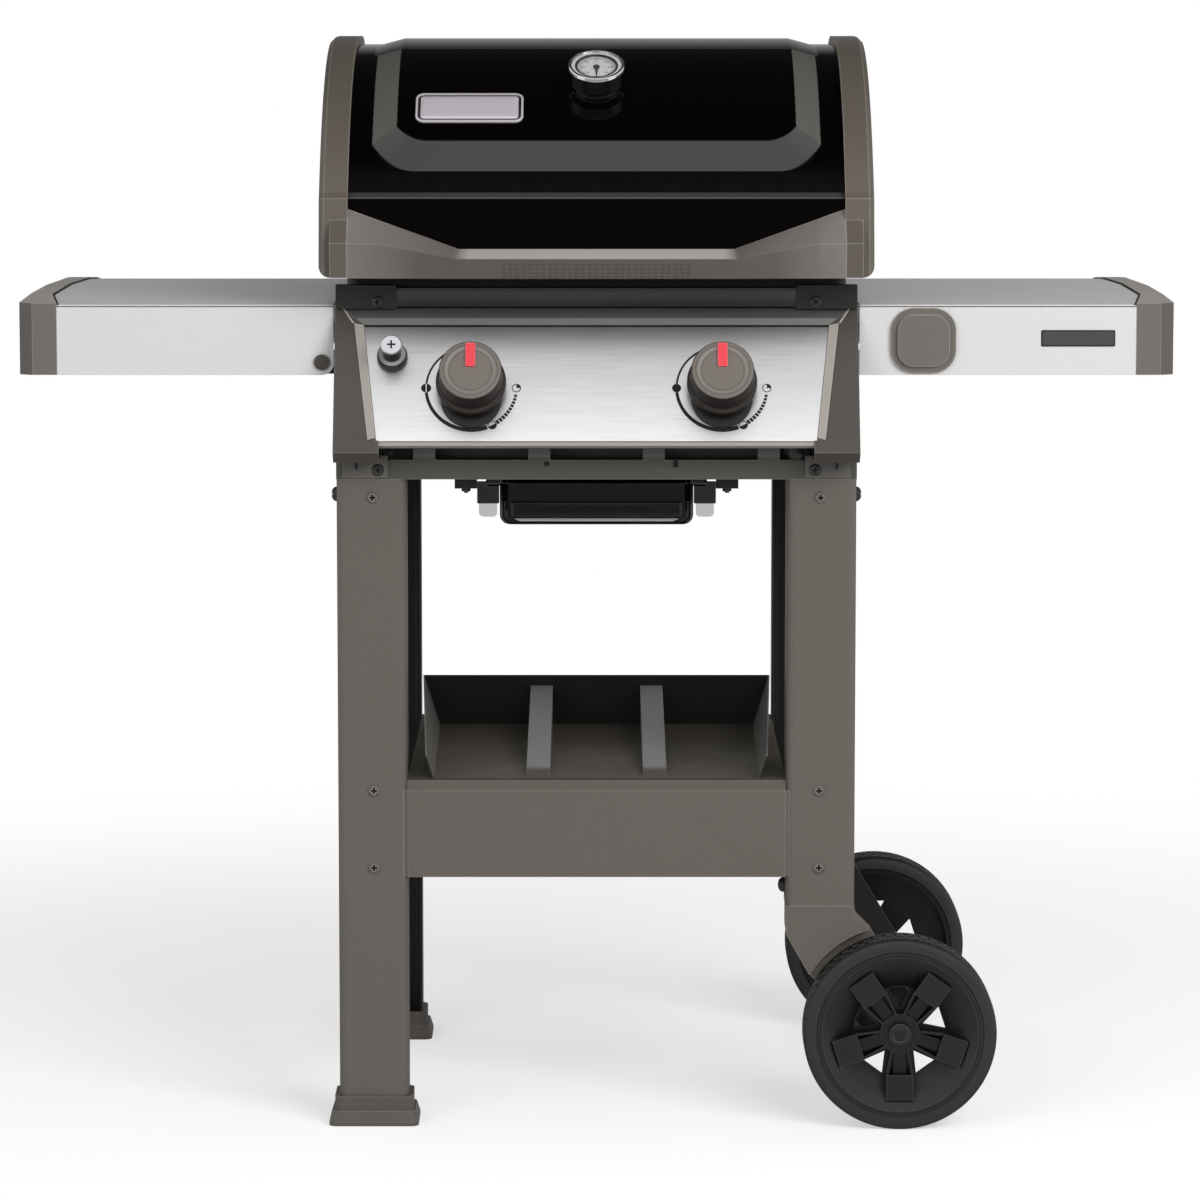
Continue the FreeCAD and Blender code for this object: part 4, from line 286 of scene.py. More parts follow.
def shelf_coat():
    # Powder coat on the shelf's deep pressing, with painted light: lighter where the sheet leaves the
    # flat, paler still on the ribs' upper faces as a painted highlight, and near black as painted shade
    # on the walls that face forwards.
    surface = coating("shelf_powder_coat", "#5b554b", "#524c43", 0.9, 0.5, edge="#7d776d")
    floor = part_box("bottom_shelf")[0].z
    tinted(surface, "#6a6864", ("Normal", "Z", 0.999, 0.97))
    raised = ("Object", "Z", floor + 5 * MM, floor + 7 * MM)
    tinted(surface, "#959594", raised, ("Normal", "Z", 0.3, 0.6))
    tinted(surface, "#0d0d0c", ("Normal", "Y", -0.3, -0.7))
    return surface[0]


def moulded_taupe():
    # Glass-filled nylon from a spark-eroded tool: fine even pebble, with painted highlights on edges.
    # Tops are painted paler as lit from above, and the faces turned sideways darker as painted shade.
    surface = coating("moulded_nylon", "#736d68", "#68625d", 0.7, 0.44, 0.14, "#a8a29a")
    tinted(surface, "#b0aaa3", ("Normal", "Z", 0.75, 0.95))
    tinted(surface, "#57514d", ("Normal", "x", 0.15, 0.4), most=0.8)
    return surface[0]


def foot_nylon():
    # The feet: the same nylon in a darker tone.
    return coating("foot_nylon", "#5b5652", "#514c48", 0.7, 0.44, 0.14, "#8b857e")[0]


def handle_taupe():
    # The handle's nylon: the same, with a painted highlight on the top of the grip, and painted
    # shade where it faces down.
    surface = coating("handle_nylon", "#827c78", "#77716c", 0.7, 0.42, 0.14, "#aaa49d")
    grip = ("Object", "X", -140 * MM, 140 * MM, 8 * MM)
    tinted(surface, "#d2cdc8", ("Normal", "Z", 0.93, 0.97), grip)
    tinted(surface, "#5d5752", ("Normal", "Z", -0.15, -0.35))
    return surface[0]


def end_nylon():
    # The panel's ends: darker nylon with the same pebble.
    # The flat ears under them, where the screws go, are paler.
    surface = coating("end_nylon", "#4a4541", "#403b38", 0.7, 0.4, 0.12, "#8a837b")
    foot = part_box("panel_end_left")[0].z
    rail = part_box("cross_rails")[0].y
    behind = ("Object", "Y", rail - 3.4 * MM, rail, 0.2 * MM)
    tinted(surface, "#625f5b", behind, ("Object", "Z", foot, foot + 22 * MM, 1 * MM))
    return surface[0]


def trim_nylon():
    # The pale strip beside the panel: the same nylon in a pale tone, a painted highlight where the
    # bevel would catch light.
    return coating("polished_nylon", "#a59f98", "#958f88", 0.7, 0.34, 0.06, "#c2bcb5")[0]


def knob_nylon():
    # Knobs: taupe faces with rings painted on, and sides painted dark brown as shade.
    material, tree, shader, place = coating(
        "knob_nylon", "#756e68", "#69625d", 0.6, 0.4, 0.1, "#a19a93"
    )
    axis = tuple(Vector(JOINTS["left_valve_turn"]["axis"]).normalized())
    middle = Vector(JOINTS["left_valve_turn"]["pos_m"])
    mirrored = add(tree, "ShaderNodeSeparateXYZ", feeds={0: place.outputs["Object"]})
    across = add(tree, "ShaderNodeMath", feeds={0: mirrored}, operation="ABSOLUTE")
    folded = add(
        tree,
        "ShaderNodeCombineXYZ",
        feeds={"X": across, "Y": mirrored.outputs["Y"], "Z": mirrored.outputs["Z"]},
    )
    centre = (abs(middle.x), middle.y, middle.z)
    away = add(tree, "ShaderNodeVectorMath", {1: centre}, {0: folded}, operation="SUBTRACT")
    sideways = add(tree, "ShaderNodeVectorMath", {1: axis}, {0: away}, operation="CROSS_PRODUCT")
    radius = add(tree, "ShaderNodeVectorMath", feeds={0: sideways}, operation="LENGTH")
    side = share_along(tree, place.outputs["Normal"], axis, 0.75, 0.35)
    # the rings: dark lines as painted shade in grooves, a pale line as a painted highlight, and a
    # darker outer band at the flange
    rings = ((21.5, 22.4, 0.3, "#57504b"), (27.5, 28.4, 0.3, "#57504b"))
    for low, high, soft, code in (*rings, (24.2, 25.4, 0.5, "#958e88"), (32, 40, 0.5, "#3f3834")):
        ring = between(tree, radius.outputs["Value"], low * MM, high * MM, soft * MM)
        blended(tree, shader, ring, code)
    # painted shade: the sides dark brown, with less specular
    blended(tree, shader, side, "#241f1c")
    dull = add(tree, "ShaderNodeMapRange", {"To Min": 0.5, "To Max": 0.12}, {"Value": side})
    tree.links.new(dull.outputs["Result"], shader.inputs["Specular IOR Level"])
    return material


def black_nylon():
    # Skirts and grip: black nylon with the same pebble.
    return coating("black_nylon", "#1c1b1a", "#141413", 0.7, 0.4, 0.12, "#33312f")[0]


def grip_nylon():
    # Grip blocks: the handle's nylon, darker from handling.
    return coating("grip_nylon", "#4a4945", "#403f3b", 0.5, 0.45, 0.1, "#5c5a56")[0]


def collar_nylon():
    # The igniter's collar: charcoal with a pale face.
    material, tree, shader, place = coating("collar_nylon", "#3b3a39", "#323130", 0.7, 0.4, 0.1)
    axis = Vector(JOINTS["left_valve_turn"]["axis"]).normalized()
    face = share_along(tree, place.outputs["Normal"], axis, 0.8, 0.95)
    blended(tree, shader, face, "#9c9b9a")
    return material


def tab_acetal():
    # Light grey acetal for the tray's tabs.
    return coating("moulded_acetal", "#bdbdbb", "#b0b0ae", 0.8, 0.42, 0.08, "#cfcfcd")[0]


def strip_nylon():
    # The strip over the panel: charcoal nylon, painted darker towards the firebox as shade under it.
    surface = coating("strip_nylon", "#585654", "#4e4c4b", 0.7, 0.45, 0.12, "#6d6b69")
    low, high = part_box("panel_top")
    tinted(surface, "#353433", ("Object", "Z", low.z + 4 * MM, high.z), most=0.8)
    return surface[0]


def lip_nylon():
    # The strip's lower lip: the same nylon in a lighter grey.
    return coating("lip_nylon", "#7a7978", "#6f6e6d", 0.7, 0.4, 0.08, "#8b8a89")[0]


def seam_shadow():
    # Seams and gaskets: black rubber with a dull skin.
    return coating("gasket_rubber", "#1b1a19", "#242321", 0.6, 0.6, 0.08)[0]


def soft_seam():
    # The folded seam along a table: grey sealer, so the joint reads as a thin dark line.
    return coating("seam_sealer", "#6b6b6a", "#616160", 0.6, 0.6, 0.05)[0]


def cast_coat():
    # Die-cast aluminium under taupe powder: coarser peel than the sheet parts, pale edges.
    return coating("cast_powder_coat", "#625c53", "#574f48", 1.3, 0.42, 0.16, "#a8a199")[0]


def firebox_coat():
    # Cast aluminium under matt high-heat paint: sandy, with a painted highlight along the middle
    # of the front bar, as if it were rounded.
    surface = coating("firebox_paint", "#262625", "#1f1f1e", 1.6, 0.55, 0.3, "#434342")
    tinted(surface, "#4b4b4a", ("Object", "Z", 878 * MM, 890 * MM, 6 * MM))
    return surface[0]


def bracket_coat():
    # The corner brackets: near-black paint.
    return coating("bracket_paint", "#262524", "#1f1e1d", 1.0, 0.5, 0.1, "#4a4745")[0]


def tyre_rubber():
    # Blow-moulded tyre: near-black with a dusty sheen, its flanks paler than its tread.
    surface = coating("moulded_rubber", "#1e1e1e", "#181818", 1.2, 0.45, 0.12, "#353535")
    tinted(surface, "#2a2a2a", ("Normal", "y", 0.7, 0.97))
    return surface[0]


def rim_plastic():
    # Polypropylene rim: black, satin, with faint flow marks.
    # Deep faces are painted darker, as shade in the recesses.
    material, tree, shader, place = coating(
        "moulded_polypropylene", "#181818", "#131313", 1.0, 0.36, 0.08, "#4a4a4a"
    )
    where = add(tree, "ShaderNodeSeparateXYZ", feeds={0: place.outputs["Object"]})
    front, rear = (
        add(
            tree,
            "ShaderNodeMath",
            {1: out, 2: -out * face},
            {0: where.outputs["Y"]},
            operation="MULTIPLY_ADD",
        )
        for out, face in ((-1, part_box("rim_front")[0].y), (1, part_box("rim_rear")[1].y))
    )
    outward = add(tree, "ShaderNodeMath", feeds={0: front, 1: rear}, operation="MAXIMUM")
    depths = {"From Min": -4.5 * MM, "From Max": -12 * MM}
    recess_shade = add(tree, "ShaderNodeMapRange", depths, {"Value": outward})
    blended(tree, shader, recess_shade, "#090909")
    return material


def black_paint():
    # Baked black paint on the small brackets.
    return coating("baked_paint", "#141413", "#1a1918", 0.8, 0.36, 0.08, "#4a4a49")[0]


def grate_enamel():
    # Porcelain enamel on cast iron: matt, pitted by the sand mould.
    return coating("cast_iron_enamel", "#1c1b1a", "#2a2826", 2.2, 0.5, 0.5, "#4a4643")[0]


def tray_enamel():
    # Black enamel on the pressed tray: wet gloss with a little peel.
    gloss = {"Coat Weight": 0.25, "Coat Roughness": 0.04, "Specular IOR Level": 0.25}
    return coating("pressed_enamel", "#040404", "#080808", 6.0, 0.2, 0.04, "#2c2c2c", **gloss)[0]


def screen_ink():
    # Screen-printed ink.
    return coating("screen_ink", "#101010", "#171717", 0.5, 0.6, 0.05)[0]


def signal_red():
    # Red polycarbonate inlay: deep colour under a soft gloss.
    gloss = {"Coat Weight": 0.3, "Coat Roughness": 0.15}
    return coating("red_polycarbonate", "#ee3f4e", "#e23242", 3.0, 0.32, 0.03, "#f47983", **gloss)[0]


def needle_paint():
    # The gauge's stamped pointer under matt black paint.
    return coating("needle_paint", "#101012", "#18181a", 0.4, 0.5, 0.05)[0]


def dial_plate():
    # Anodised dial plate: silver-white with a fine grain.
    return coating("anodised_plate", "#d6d6d8", "#c6c6c8", 0.5, 0.4, 0.04)[0]


def table_paint():
    # Metallic silver paint on sheet steel: pale, even, a little orange peel.
    return coating("metallic_paint", "#dedede", "#d6d6d6", 1.2, 0.4, 0.05, "#c2c2c2")[0]


def plate_enamel():
    # Charcoal enamel on the table's bare plate.
    return coating("plate_enamel", "#4a4949", "#424141", 1.0, 0.42, 0.05, "#2c2b2b")[0]


def lid_enamel():
    # Porcelain enamel fired on steel: deep black glass with a long wave. The pressed border of
    # the raised field, its crown and the crease under it are painted grey: painted reflections and
    # highlights where the black glass would mirror the studio.
    surface = new_surface("porcelain_enamel", **{"Roughness": 0.09, "Specular IOR Level": 0.06})
    material, tree, shader, place = surface
    ripple = {"Scale": 1 / (9 * MM), "Detail": 2.0}
    wave = add(tree, "ShaderNodeTexNoise", ripple, {"Vector": place.outputs["Object"]})
    relief = add(tree, "ShaderNodeBump", {"Strength": 0.03, "Distance": 0.2 * MM}, {"Height": wave})
    tree.links.new(relief.outputs["Normal"], shader.inputs["Normal"])
    colours = {FIRST: linear("#040202"), SECOND: linear("#070404")}
    colour = add(tree, "ShaderNodeMix", colours, {SHARE: wave}, data_type="RGBA")
    tree.links.new(colour.outputs[MIXED], shader.inputs["Base Color"])
    section = add(
        tree, "ShaderNodeVectorMath", {1: (0, 1, 1)}, {0: place.outputs["Object"]}, operation="MULTIPLY"
    )
    centre = {1: tuple(BARREL_MIDDLE)}
    out = add(tree, "ShaderNodeVectorMath", centre, {0: section}, operation="DISTANCE")
    inner, outer = BARREL_RADIUS + 0.5 * MM, BARREL_RADIUS + FIELD_RISE - 0.35 * MM
    border = between(tree, out.outputs["Value"], inner, outer, 0.15 * MM)
    foot = CREASE_HEIGHT + 3 * CREASE_STEP
    above = share_where(tree, place, ("Object", "Z", foot, foot + 0.01 * MM))
    border_reflection = add(tree, "ShaderNodeMath", feeds={0: border, 1: above}, operation="MULTIPLY")
    # painted reflection: the raised field's border grey, paler on its flanks
    blended(tree, shader, border_reflection, "#474747")
    flank = share_where(tree, place, ("Normal", "x", 0.1, 0.25))
    both = add(tree, "ShaderNodeMath", feeds={0: flank, 1: border_reflection}, operation="MULTIPLY")
    blended(tree, shader, both, "#5e5e5a")
    # painted reflection: a grey strip over the crown
    crown_reflection = ("Object", "Y", -49 * MM, 42 * MM, 0.5 * MM)
    width = ("Object", "x", -238 * MM, 238 * MM, 0.5 * MM)
    tinted(surface, "#3a3636", crown_reflection, width, ("Object", "Z", CROWN_HEIGHT, CROWN_HEIGHT + 0.01 * MM))
    # painted highlight: two grey lines along the crease
    for top, soft, code in ((CREASE_STEP, 0.5 * MM, "#3c3c3c"), (1.2 * MM, 0.4 * MM, "#5a5a5a")):
        tinted(surface, code, ("Object", "Z", CREASE_HEIGHT, CREASE_HEIGHT + top, soft))
    return material


def metal(name, base, shade, along, grain_mm, rough, bump=0.03, edge=None, **more):
    """A rolled, brushed or turned metal: hairlines drawn out along one axis."""
    material, tree, shader, place = new_surface(name, **{"Metallic": 1.0, **more})
    stretch = [1 / (grain_mm * MM)] * 3
    stretch[along] /= 90
    drawn = add(tree, "ShaderNodeMapping", {"Scale": stretch}, {"Vector": place.outputs["Object"]})
    grain = {"Scale": 1.0, "Detail": 3.0, "Roughness": 0.7}
    lines = add(tree, "ShaderNodeTexNoise", grain, {"Vector": drawn})
    dress(tree, shader, (base, shade), lines, lines, rough, 0.2, lines, bump, 0.1 * MM)
    # edge is the colour of the painted highlight along the edges
    if edge:
        rub_edges(tree, shader, edge)
    return material, tree, shader, place


def panel_steel():
    # Brushed stainless: hairlines across the panel, drawn coarse enough to show, with painted shade:
    # the colour goes darker towards the top edge under the firebox.
    surface = metal("brushed_stainless", "#fafafa", "#eeeeee", 0, 0.8, 0.36, 0.04, "#ffffff")
    low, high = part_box("control_panel")
    middle = (low.z + high.z) / 2
    tinted(surface, "#cecece", ("Object", "Z", low.z + 8 * MM, middle + 8 * MM), most=0.8)
    return surface[0]


def chrome():
    # Bright chrome plate over a zinc casting.
    return metal("chrome_plate", "#e8e8ea", "#dddde0", 0, 3.0, 0.07, 0.01)[0]


def button_chrome():
    # The igniter: a chrome-plated cap on a black shank.
    material, tree, shader, place = metal(
        "plated_button", "#d2d2d5", "#c2c2c6", 0, 3.0, 0.1, 0.01, **{"Specular IOR Level": 0.1}
    )
    button = igniter_place()
    axis = button.to_3x3() @ UP
    cap = (button @ Vector((0, 0, reach("igniter_button", button) - 2.2 * MM))).dot(axis)
    shank = share_along(tree, place.outputs["Object"], axis, cap + 0.2 * MM, cap - 0.2 * MM)
    blended(tree, shader, shank, "#0d0d0d")
    plated = add(tree, "ShaderNodeMath", {0: 1.0}, {1: shank}, operation="SUBTRACT")
    tree.links.new(plated.outputs[0], shader.inputs["Metallic"])
    return material


def zinc():
    # Zinc plate with a grey chromate: dull, with drawing lines.
    return metal("zinc_plate", "#8d8e90", "#77787a", 2, 0.7, 0.4, edge="#b5b6b8")[0]


def black_zinc():
    # Black zinc on the screws: dull charcoal.
    return metal(
        "black_zinc", "#454340", "#33312f", 2, 0.5, 0.42, 0.03, "#77736e", **{"Metallic": 0.5}
    )[0]


def bolt_coat():
    # Leg screws, coated with the legs.
    return coating("coated_screw", "#5f5953", "#504b46", 0.7, 0.4, 0.1, "#b4aea7")[0]


def rubbed_steel():
    # The tray's lower bead: bright steel, a painted highlight along the tray's lower front.
    return metal("rubbed_steel", "#c4c4c4", "#aaaaaa", 0, 1.0, 0.35, **{"Metallic": 0.3})[0]


def recess_black():
    # Black steel laid in screw recesses and slots as painted shade, and the apron plate's black rim.
    return coating("bare_recess", "#080808", "#0e0d0d", 0.5, 0.6, 0.05)[0]


def heated_stainless():
    # Stainless tube, straw and grey from heat.
    return metal("heated_stainless", "#9b9388", "#7d766f", 1, 1.2, 0.4, edge="#bab2a6")[0]


def machined_brass():
    # Machined brass.
    return metal("machined_brass", "#c9a55a", "#b08f4a", 1, 0.4, 0.3, edge="#e0c078")[0]


def smoked_foil():
    # Pressed foil pan, black with smoke and fat: dark, crumpled and half bright.
    return metal("smoked_foil", "#1c1b1a", "#0f0f0e", 1, 4.0, 0.4, 0.4, "#5a5957")[0]


def pewter():
    # Polished zinc casting of the lid's bare plate.
    return metal("cast_pewter", "#e6e1e7", "#cfc9d0", 0, 0.8, 0.3, 0.03, **{"Metallic": 0.3})[0]


def clear_lens():
    # Clear polycarbonate, a little smeared.
    look = {"Transmission Weight": 1.0, "IOR": 1.12}
    material, tree, shader, place = new_surface("clear_polycarbonate", **look)
    size = {"Scale": 1 / (12 * MM)}
    smear = add(tree, "ShaderNodeTexNoise", size, {"Vector": place.outputs["Object"]})
    film = add(tree, "ShaderNodeMapRange", {"To Min": 0.0, "To Max": 0.03}, {"Value": smear})
    tree.links.new(film.outputs["Result"], shader.inputs["Roughness"])
    return material


LEGS = [f"leg_{end}_{hand}" for end in ("front", "rear") for hand in ("left", "right")]
FINISHES = {
    powder_coat: LEGS
    + ["brace_front", "brace_rear", "side_rails", "wheel_bracket_front", "wheel_bracket_rear"],
    rail_coat: ["cross_rails"],
    shelf_coat: ["bottom_shelf"],
    moulded_taupe: ["socket_cover", "table_cap_left", "table_cap_right"],
    foot_nylon: ["feet"],
    end_nylon: ["panel_end_left", "panel_end_right", "table_pivots"],
    handle_taupe: ["lid_handle"],
    knob_nylon: ["knob_left", "knob_right"],
    collar_nylon: ["control_bezels"],
    tab_acetal: ["tray_clips"],
    strip_nylon: ["panel_top"],
    cast_coat: ["lid_cap_left", "lid_cap_right"],
    firebox_coat: ["firebox"],
    bracket_coat: ["corner_brackets"],
    rim_plastic: ["rim_front", "rim_rear"],
    tyre_rubber: ["tyre_front", "tyre_rear"],
    black_paint: ["tray_rails", "table_mounts", "table_frame_left", "table_frame_right"],
    grate_enamel: ["grate_left", "grate_right"],
    tray_enamel: ["drip_tray"],
    signal_red: ["knob_pointer_left", "knob_pointer_right"],
    needle_paint: ["thermometer_pointer"],
    dial_plate: ["thermometer_dial"],
    lid_enamel: ["lid_shell"],
    panel_steel: ["control_panel"],
    table_paint: ["table_left", "table_right"],
    chrome: ["thermometer_case"],
    button_chrome: ["igniter_button"],
    zinc: ["axle", "hinge_brackets"],
    black_zinc: ["cart_screws", "manifold"],
    heated_stainless: ["burners", "heat_bars"],
    machined_brass: ["valves", "valve_stem_left", "valve_stem_right"],
    smoked_foil: ["catch_pan"],
    clear_lens: ["thermometer_lens"],
}
made_finishes = {}


def finish(make):
    """The material that a finish function makes, made once."""
    if make not in made_finishes:
        made_finishes[make] = make()
    return made_finishes[make]


# ---- places ------------------------------------------------------------------------------------


def facing(place, axis):
    """A matrix at a place whose +Z is an axis and whose +X is level and to the grill's right."""
    axis = Vector(axis).normalized()
    up = axis.cross(RIGHT).normalized()
    right = up.cross(axis)
    return Matrix.Translation(place) @ Matrix((right, up, axis)).transposed().to_4x4()


def reach(node, place):
    """How far a node goes along a matrix's +Z from its origin."""
    back = place.inverted()
    return max((back @ vertex.co).z for vertex in NODES[node].data.vertices)


def surface_of(*nodes):
    """A search tree over nodes' faces."""
    points, faces = [], []
    for node in nodes:
        mesh = NODES[node].data
        start = len(points)
        points += [vertex.co.copy() for vertex in mesh.vertices]
        faces += [[start + at for at in face.vertices] for face in mesh.polygons]
    return BVHTree.FromPolygons(points, faces)


def panel_frame():
    """The panel's face: +X to the right from the grill's middle, +Y up the slope, +Z out."""
    valve = JOINTS["left_valve_turn"]
    middle = Vector(valve["pos_m"])
    middle.x = 0
    return facing(middle, valve["axis"])


def igniter_place():
    """The igniter's middle, with +Z out of the panel."""
    low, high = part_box("igniter_button")
    return facing((low + high) / 2, -Vector(JOINTS["igniter_push"]["axis"]))


def stand(name, data):
    """A new object in the scene."""
    thing = bpy.data.objects.new(name, data)
    bpy.context.scene.collection.objects.link(thing)
    return thing


def baked(thing):
    """The plain mesh that an object makes with its modifiers. The object goes."""
    bpy.context.view_layer.update()
    done = thing.evaluated_get(bpy.context.evaluated_depsgraph_get())
    mesh = bpy.data.meshes.new_from_object(done)
    bpy.data.objects.remove(thing)
    return mesh


# ---- shapes ------------------------------------------------------------------------------------


def piece(name, build, make, body, sharp=35):
    """A finished mesh with its finish and body, from a build function or a ready mesh.

    It is closed, its faces point outwards, and edges sharper than a number of degrees stay sharp.
    """
    mesh = mesh_of(build, name, 1e-6, sharp)
    mesh.materials.clear()
    mesh.materials.append(finish(make))
    thing = stand(name, mesh)
    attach(thing, body)
    return thing


def mesh_of(build, name="seed", weld=1e-7, sharp=None):
    """A closed mesh with its faces outwards, from a build function or a ready mesh."""
    shape = bmesh.new()
    if isinstance(build, bpy.types.Mesh):
        shape.from_mesh(build)
    else:
        build(shape)
    bmesh.ops.remove_doubles(shape, verts=shape.verts, dist=weld)
    bmesh.ops.recalc_face_normals(shape, faces=shape.faces)
    if sharp:
        for face in shape.faces:
            face.smooth = True
        for edge in shape.edges:
            turn = edge.calc_face_angle(0)
            edge.smooth = len(edge.link_faces) == 2 and turn < math.radians(sharp)
    mesh = bpy.data.meshes.new(name)
    shape.to_mesh(mesh)
    shape.free()
    return mesh


def join_rings(shape, rings, closed=False):
    """Skin rings of points with four-sided faces."""
    rows = [[shape.verts.new(point) for point in ring] for ring in rings]
    pairs = list(zip(rows, rows[1:])) + ([(rows[-1], rows[0])] if closed else [])
    for one, two in pairs:
        for at in range(len(one)):
            after = (at + 1) % len(one)
            shape.faces.new((one[at], one[after], two[after], two[at]))
    if not closed:
        shape.faces.new(rows[0][::-1])
        shape.faces.new(rows[-1])


def revolved(shape, profile, segments, place=None, closed=True):
    """(radius, height) points turned about +Z and moved by a matrix.

    The profile is a closed loop, or a line that starts and ends on the axis.
    """
    place = place or Matrix.Identity(4)
    rows = []
    for at in range(segments):
        turn = 2 * math.pi * at / segments
        spin = Vector((math.cos(turn), math.sin(turn)))
        ring = [place @ Vector((r * spin.x, r * spin.y, z)) for r, z in profile]
        rows.append([shape.verts.new(point) for point in ring])
    last = len(profile) if closed else len(profile) - 1
    for at, row in enumerate(rows):
        beside = rows[(at + 1) % segments]
        for up in range(last):
            top = (up + 1) % len(profile)
            shape.faces.new((row[up], beside[up], beside[top], row[top]))


def slab(shape, outline, low, high, place, taper=0.0):
    """A closed flat prism on an outline of (u, v) points; taper draws its top in."""
    middle_u = sum(u for u, _ in outline) / len(outline)
    middle_v = sum(v for _, v in outline) / len(outline)
    size = max(math.hypot(u - middle_u, v - middle_v) for u, v in outline)
    keep = 1 - taper / size
    top = [(middle_u + (u - middle_u) * keep, middle_v + (v - middle_v) * keep) for u, v in outline]
    rings = [
        [place @ Vector((u, v, low)) for u, v in outline],
        [place @ Vector((u, v, high - taper)) for u, v in outline],
        [place @ Vector((u, v, high)) for u, v in top],
    ]
    if not taper:
        rings.pop(1)
    join_rings(shape, rings)


def ribbon(shape, points, widths, low, high, place, closed=False):
    """A raised line along (u, v) points, with a width at each, between two heights."""
    count = len(points)
    rings = []
    for at, (u, v) in enumerate(points):
        before = points[at - 1] if at or closed else points[at]
        after = points[(at + 1) % count] if at < count - 1 or closed else points[at]
        run = Vector((after[0] - before[0], after[1] - before[1])).normalized()
        side = Vector((-run.y, run.x)) * widths[at] / 2
        corners = ((-1, low), (1, low), (1, high), (-1, high))
        rings.append([place @ Vector((u + sign * side.x, v + sign * side.y, z)) for sign, z in corners])
    join_rings(shape, rings, closed)


def arc(radius, start, stop, count, middle=(0, 0)):
    """Points on an arc, by degrees anticlockwise from +u."""
    turns = [math.radians(start + (stop - start) * at / count) for at in range(count + 1)]
    return [(middle[0] + radius * math.cos(t), middle[1] + radius * math.sin(t)) for t in turns]


def rounded(half_u, half_v, corner, count=6, middle=(0, 0)):
    """A rectangle's outline with rounded corners."""
    outline = []
    for turn, (u, v) in ((0, (1, 1)), (90, (-1, 1)), (180, (-1, -1)), (270, (1, -1))):
        centre = (middle[0] + u * (half_u - corner), middle[1] + v * (half_v - corner))
        outline += arc(corner, turn, turn + 90, count, centre)
    return outline


def tapered(shape, half_u, half_v, steps):
    """A block through rectangles at (height, share of half_u, share of half_v) steps."""
    rings = []
    for z, keep_u, keep_v in steps:
        outline = level_rect(half_u * keep_u, half_v * keep_v)
        rings.append([Vector((u, v, z)) for u, v in outline])
    join_rings(shape, rings)


def level_rect(half_u, half_v):
    """The outline of a rectangle round the middle."""
    return level_bar(half_u, -half_v, half_v)


def level_bar(half, low, high):
    """The outline of a bar across the middle."""
    return [(-half, low), (half, low), (half, high), (-half, high)]


def cross_outline(arm, thick):
    """The outline of a cross: half an arm's reach, and half its thickness."""
    quarter = [(arm, -thick), (arm, thick), (thick, thick)]
    outline = []
    for cos, sin in ((1, 0), (0, 1), (-1, 0), (0, -1)):
        outline += [(u * cos - v * sin, u * sin + v * cos) for u, v in quarter]
    return outline


def in_mm(*points):
    """Points given in millimetres."""
    return [tuple(number * MM for number in point) for point in points]


# ---- geometry trees ----------------------------------------------------------------------------


def new_tree(name, **inputs):
    """A geometry tree with a shape in, a shape out and named inputs."""
    tree = bpy.data.node_groups.new(name, "GeometryNodeTree")
    tree.interface.new_socket("Geometry", in_out="INPUT", socket_type="NodeSocketGeometry")
    tree.interface.new_socket("Geometry", in_out="OUTPUT", socket_type="NodeSocketGeometry")
    for label, kind in inputs.items():
        tree.interface.new_socket(label, in_out="INPUT", socket_type=kind)
    return tree, add(tree, "NodeGroupInput")


def close_tree(tree, instances, start):
    """Make the instances real, give them the finish and send them out."""
    real = add(tree, "GeometryNodeRealizeInstances", feeds={0: instances})
    paint = {"Geometry": real, "Material": start.outputs["Finish"]}
    dressed = add(tree, "GeometryNodeSetMaterial", feeds=paint)
    add(tree, "NodeGroupOutput", feeds={0: dressed})
    return tree


def ring_tree():
    """Copies of the incoming shape round the Z axis, each turned to face outwards."""
    tree, start = new_tree(
        "pieces_in_a_ring",
        Count="NodeSocketInt",
        Step="NodeSocketFloat",
        Radius="NodeSocketFloat",
        Finish="NodeSocketMaterial",
    )
    points = add(tree, "GeometryNodePoints", feeds={"Count": start.outputs["Count"]})
    number = add(tree, "GeometryNodeInputIndex")
    steps = {0: number, 1: start.outputs["Step"]}
    turn = add(tree, "ShaderNodeMath", feeds=steps, operation="MULTIPLY")
    angles = add(tree, "ShaderNodeCombineXYZ", feeds={"Z": turn})
    spoke = add(tree, "ShaderNodeCombineXYZ", feeds={"X": start.outputs["Radius"]})
    swing = {"Vector": spoke, "Angle": turn}
    swung = add(tree, "ShaderNodeVectorRotate", feeds=swing, rotation_type="Z_AXIS")
    placed = add(tree, "GeometryNodeSetPosition", feeds={"Geometry": points, "Position": swung})
    copies = {"Points": placed, "Instance": start.outputs["Geometry"], "Rotation": angles}
    return close_tree(tree, add(tree, "GeometryNodeInstanceOnPoints", feeds=copies), start)


def spot_tree():
    """Copies of a shape on the points of the incoming mesh, turned by its 'turn' attribute."""
    tree, start = new_tree("pieces_on_spots", Shape="NodeSocketObject", Finish="NodeSocketMaterial")
    shape = add(tree, "GeometryNodeObjectInfo", feeds={"Object": start.outputs["Shape"]})
    turn = add(tree, "GeometryNodeInputNamedAttribute", {"Name": "turn"}, data_type="FLOAT_VECTOR")
    copies = {
        "Points": start.outputs["Geometry"],
        "Instance": shape.outputs["Geometry"],
        "Rotation": turn.outputs["Attribute"],
    }
    return close_tree(tree, add(tree, "GeometryNodeInstanceOnPoints", feeds=copies), start)


made_trees = {}


def grow(source, make, **values):
    """Run a geometry tree on a mesh and give back the plain mesh that it makes."""
    if make not in made_trees:
        made_trees[make] = make()
    thing = stand("grow", source)
    growth = thing.modifiers.new("grow", "NODES")
    growth.node_group = made_trees[make]
    items = made_trees[make].interface.items_tree
    sockets = {item.name: item.identifier for item in items if item.in_out == "INPUT"}
    for name, value in values.items():
        growth[sockets[name]] = value
    return baked(thing)


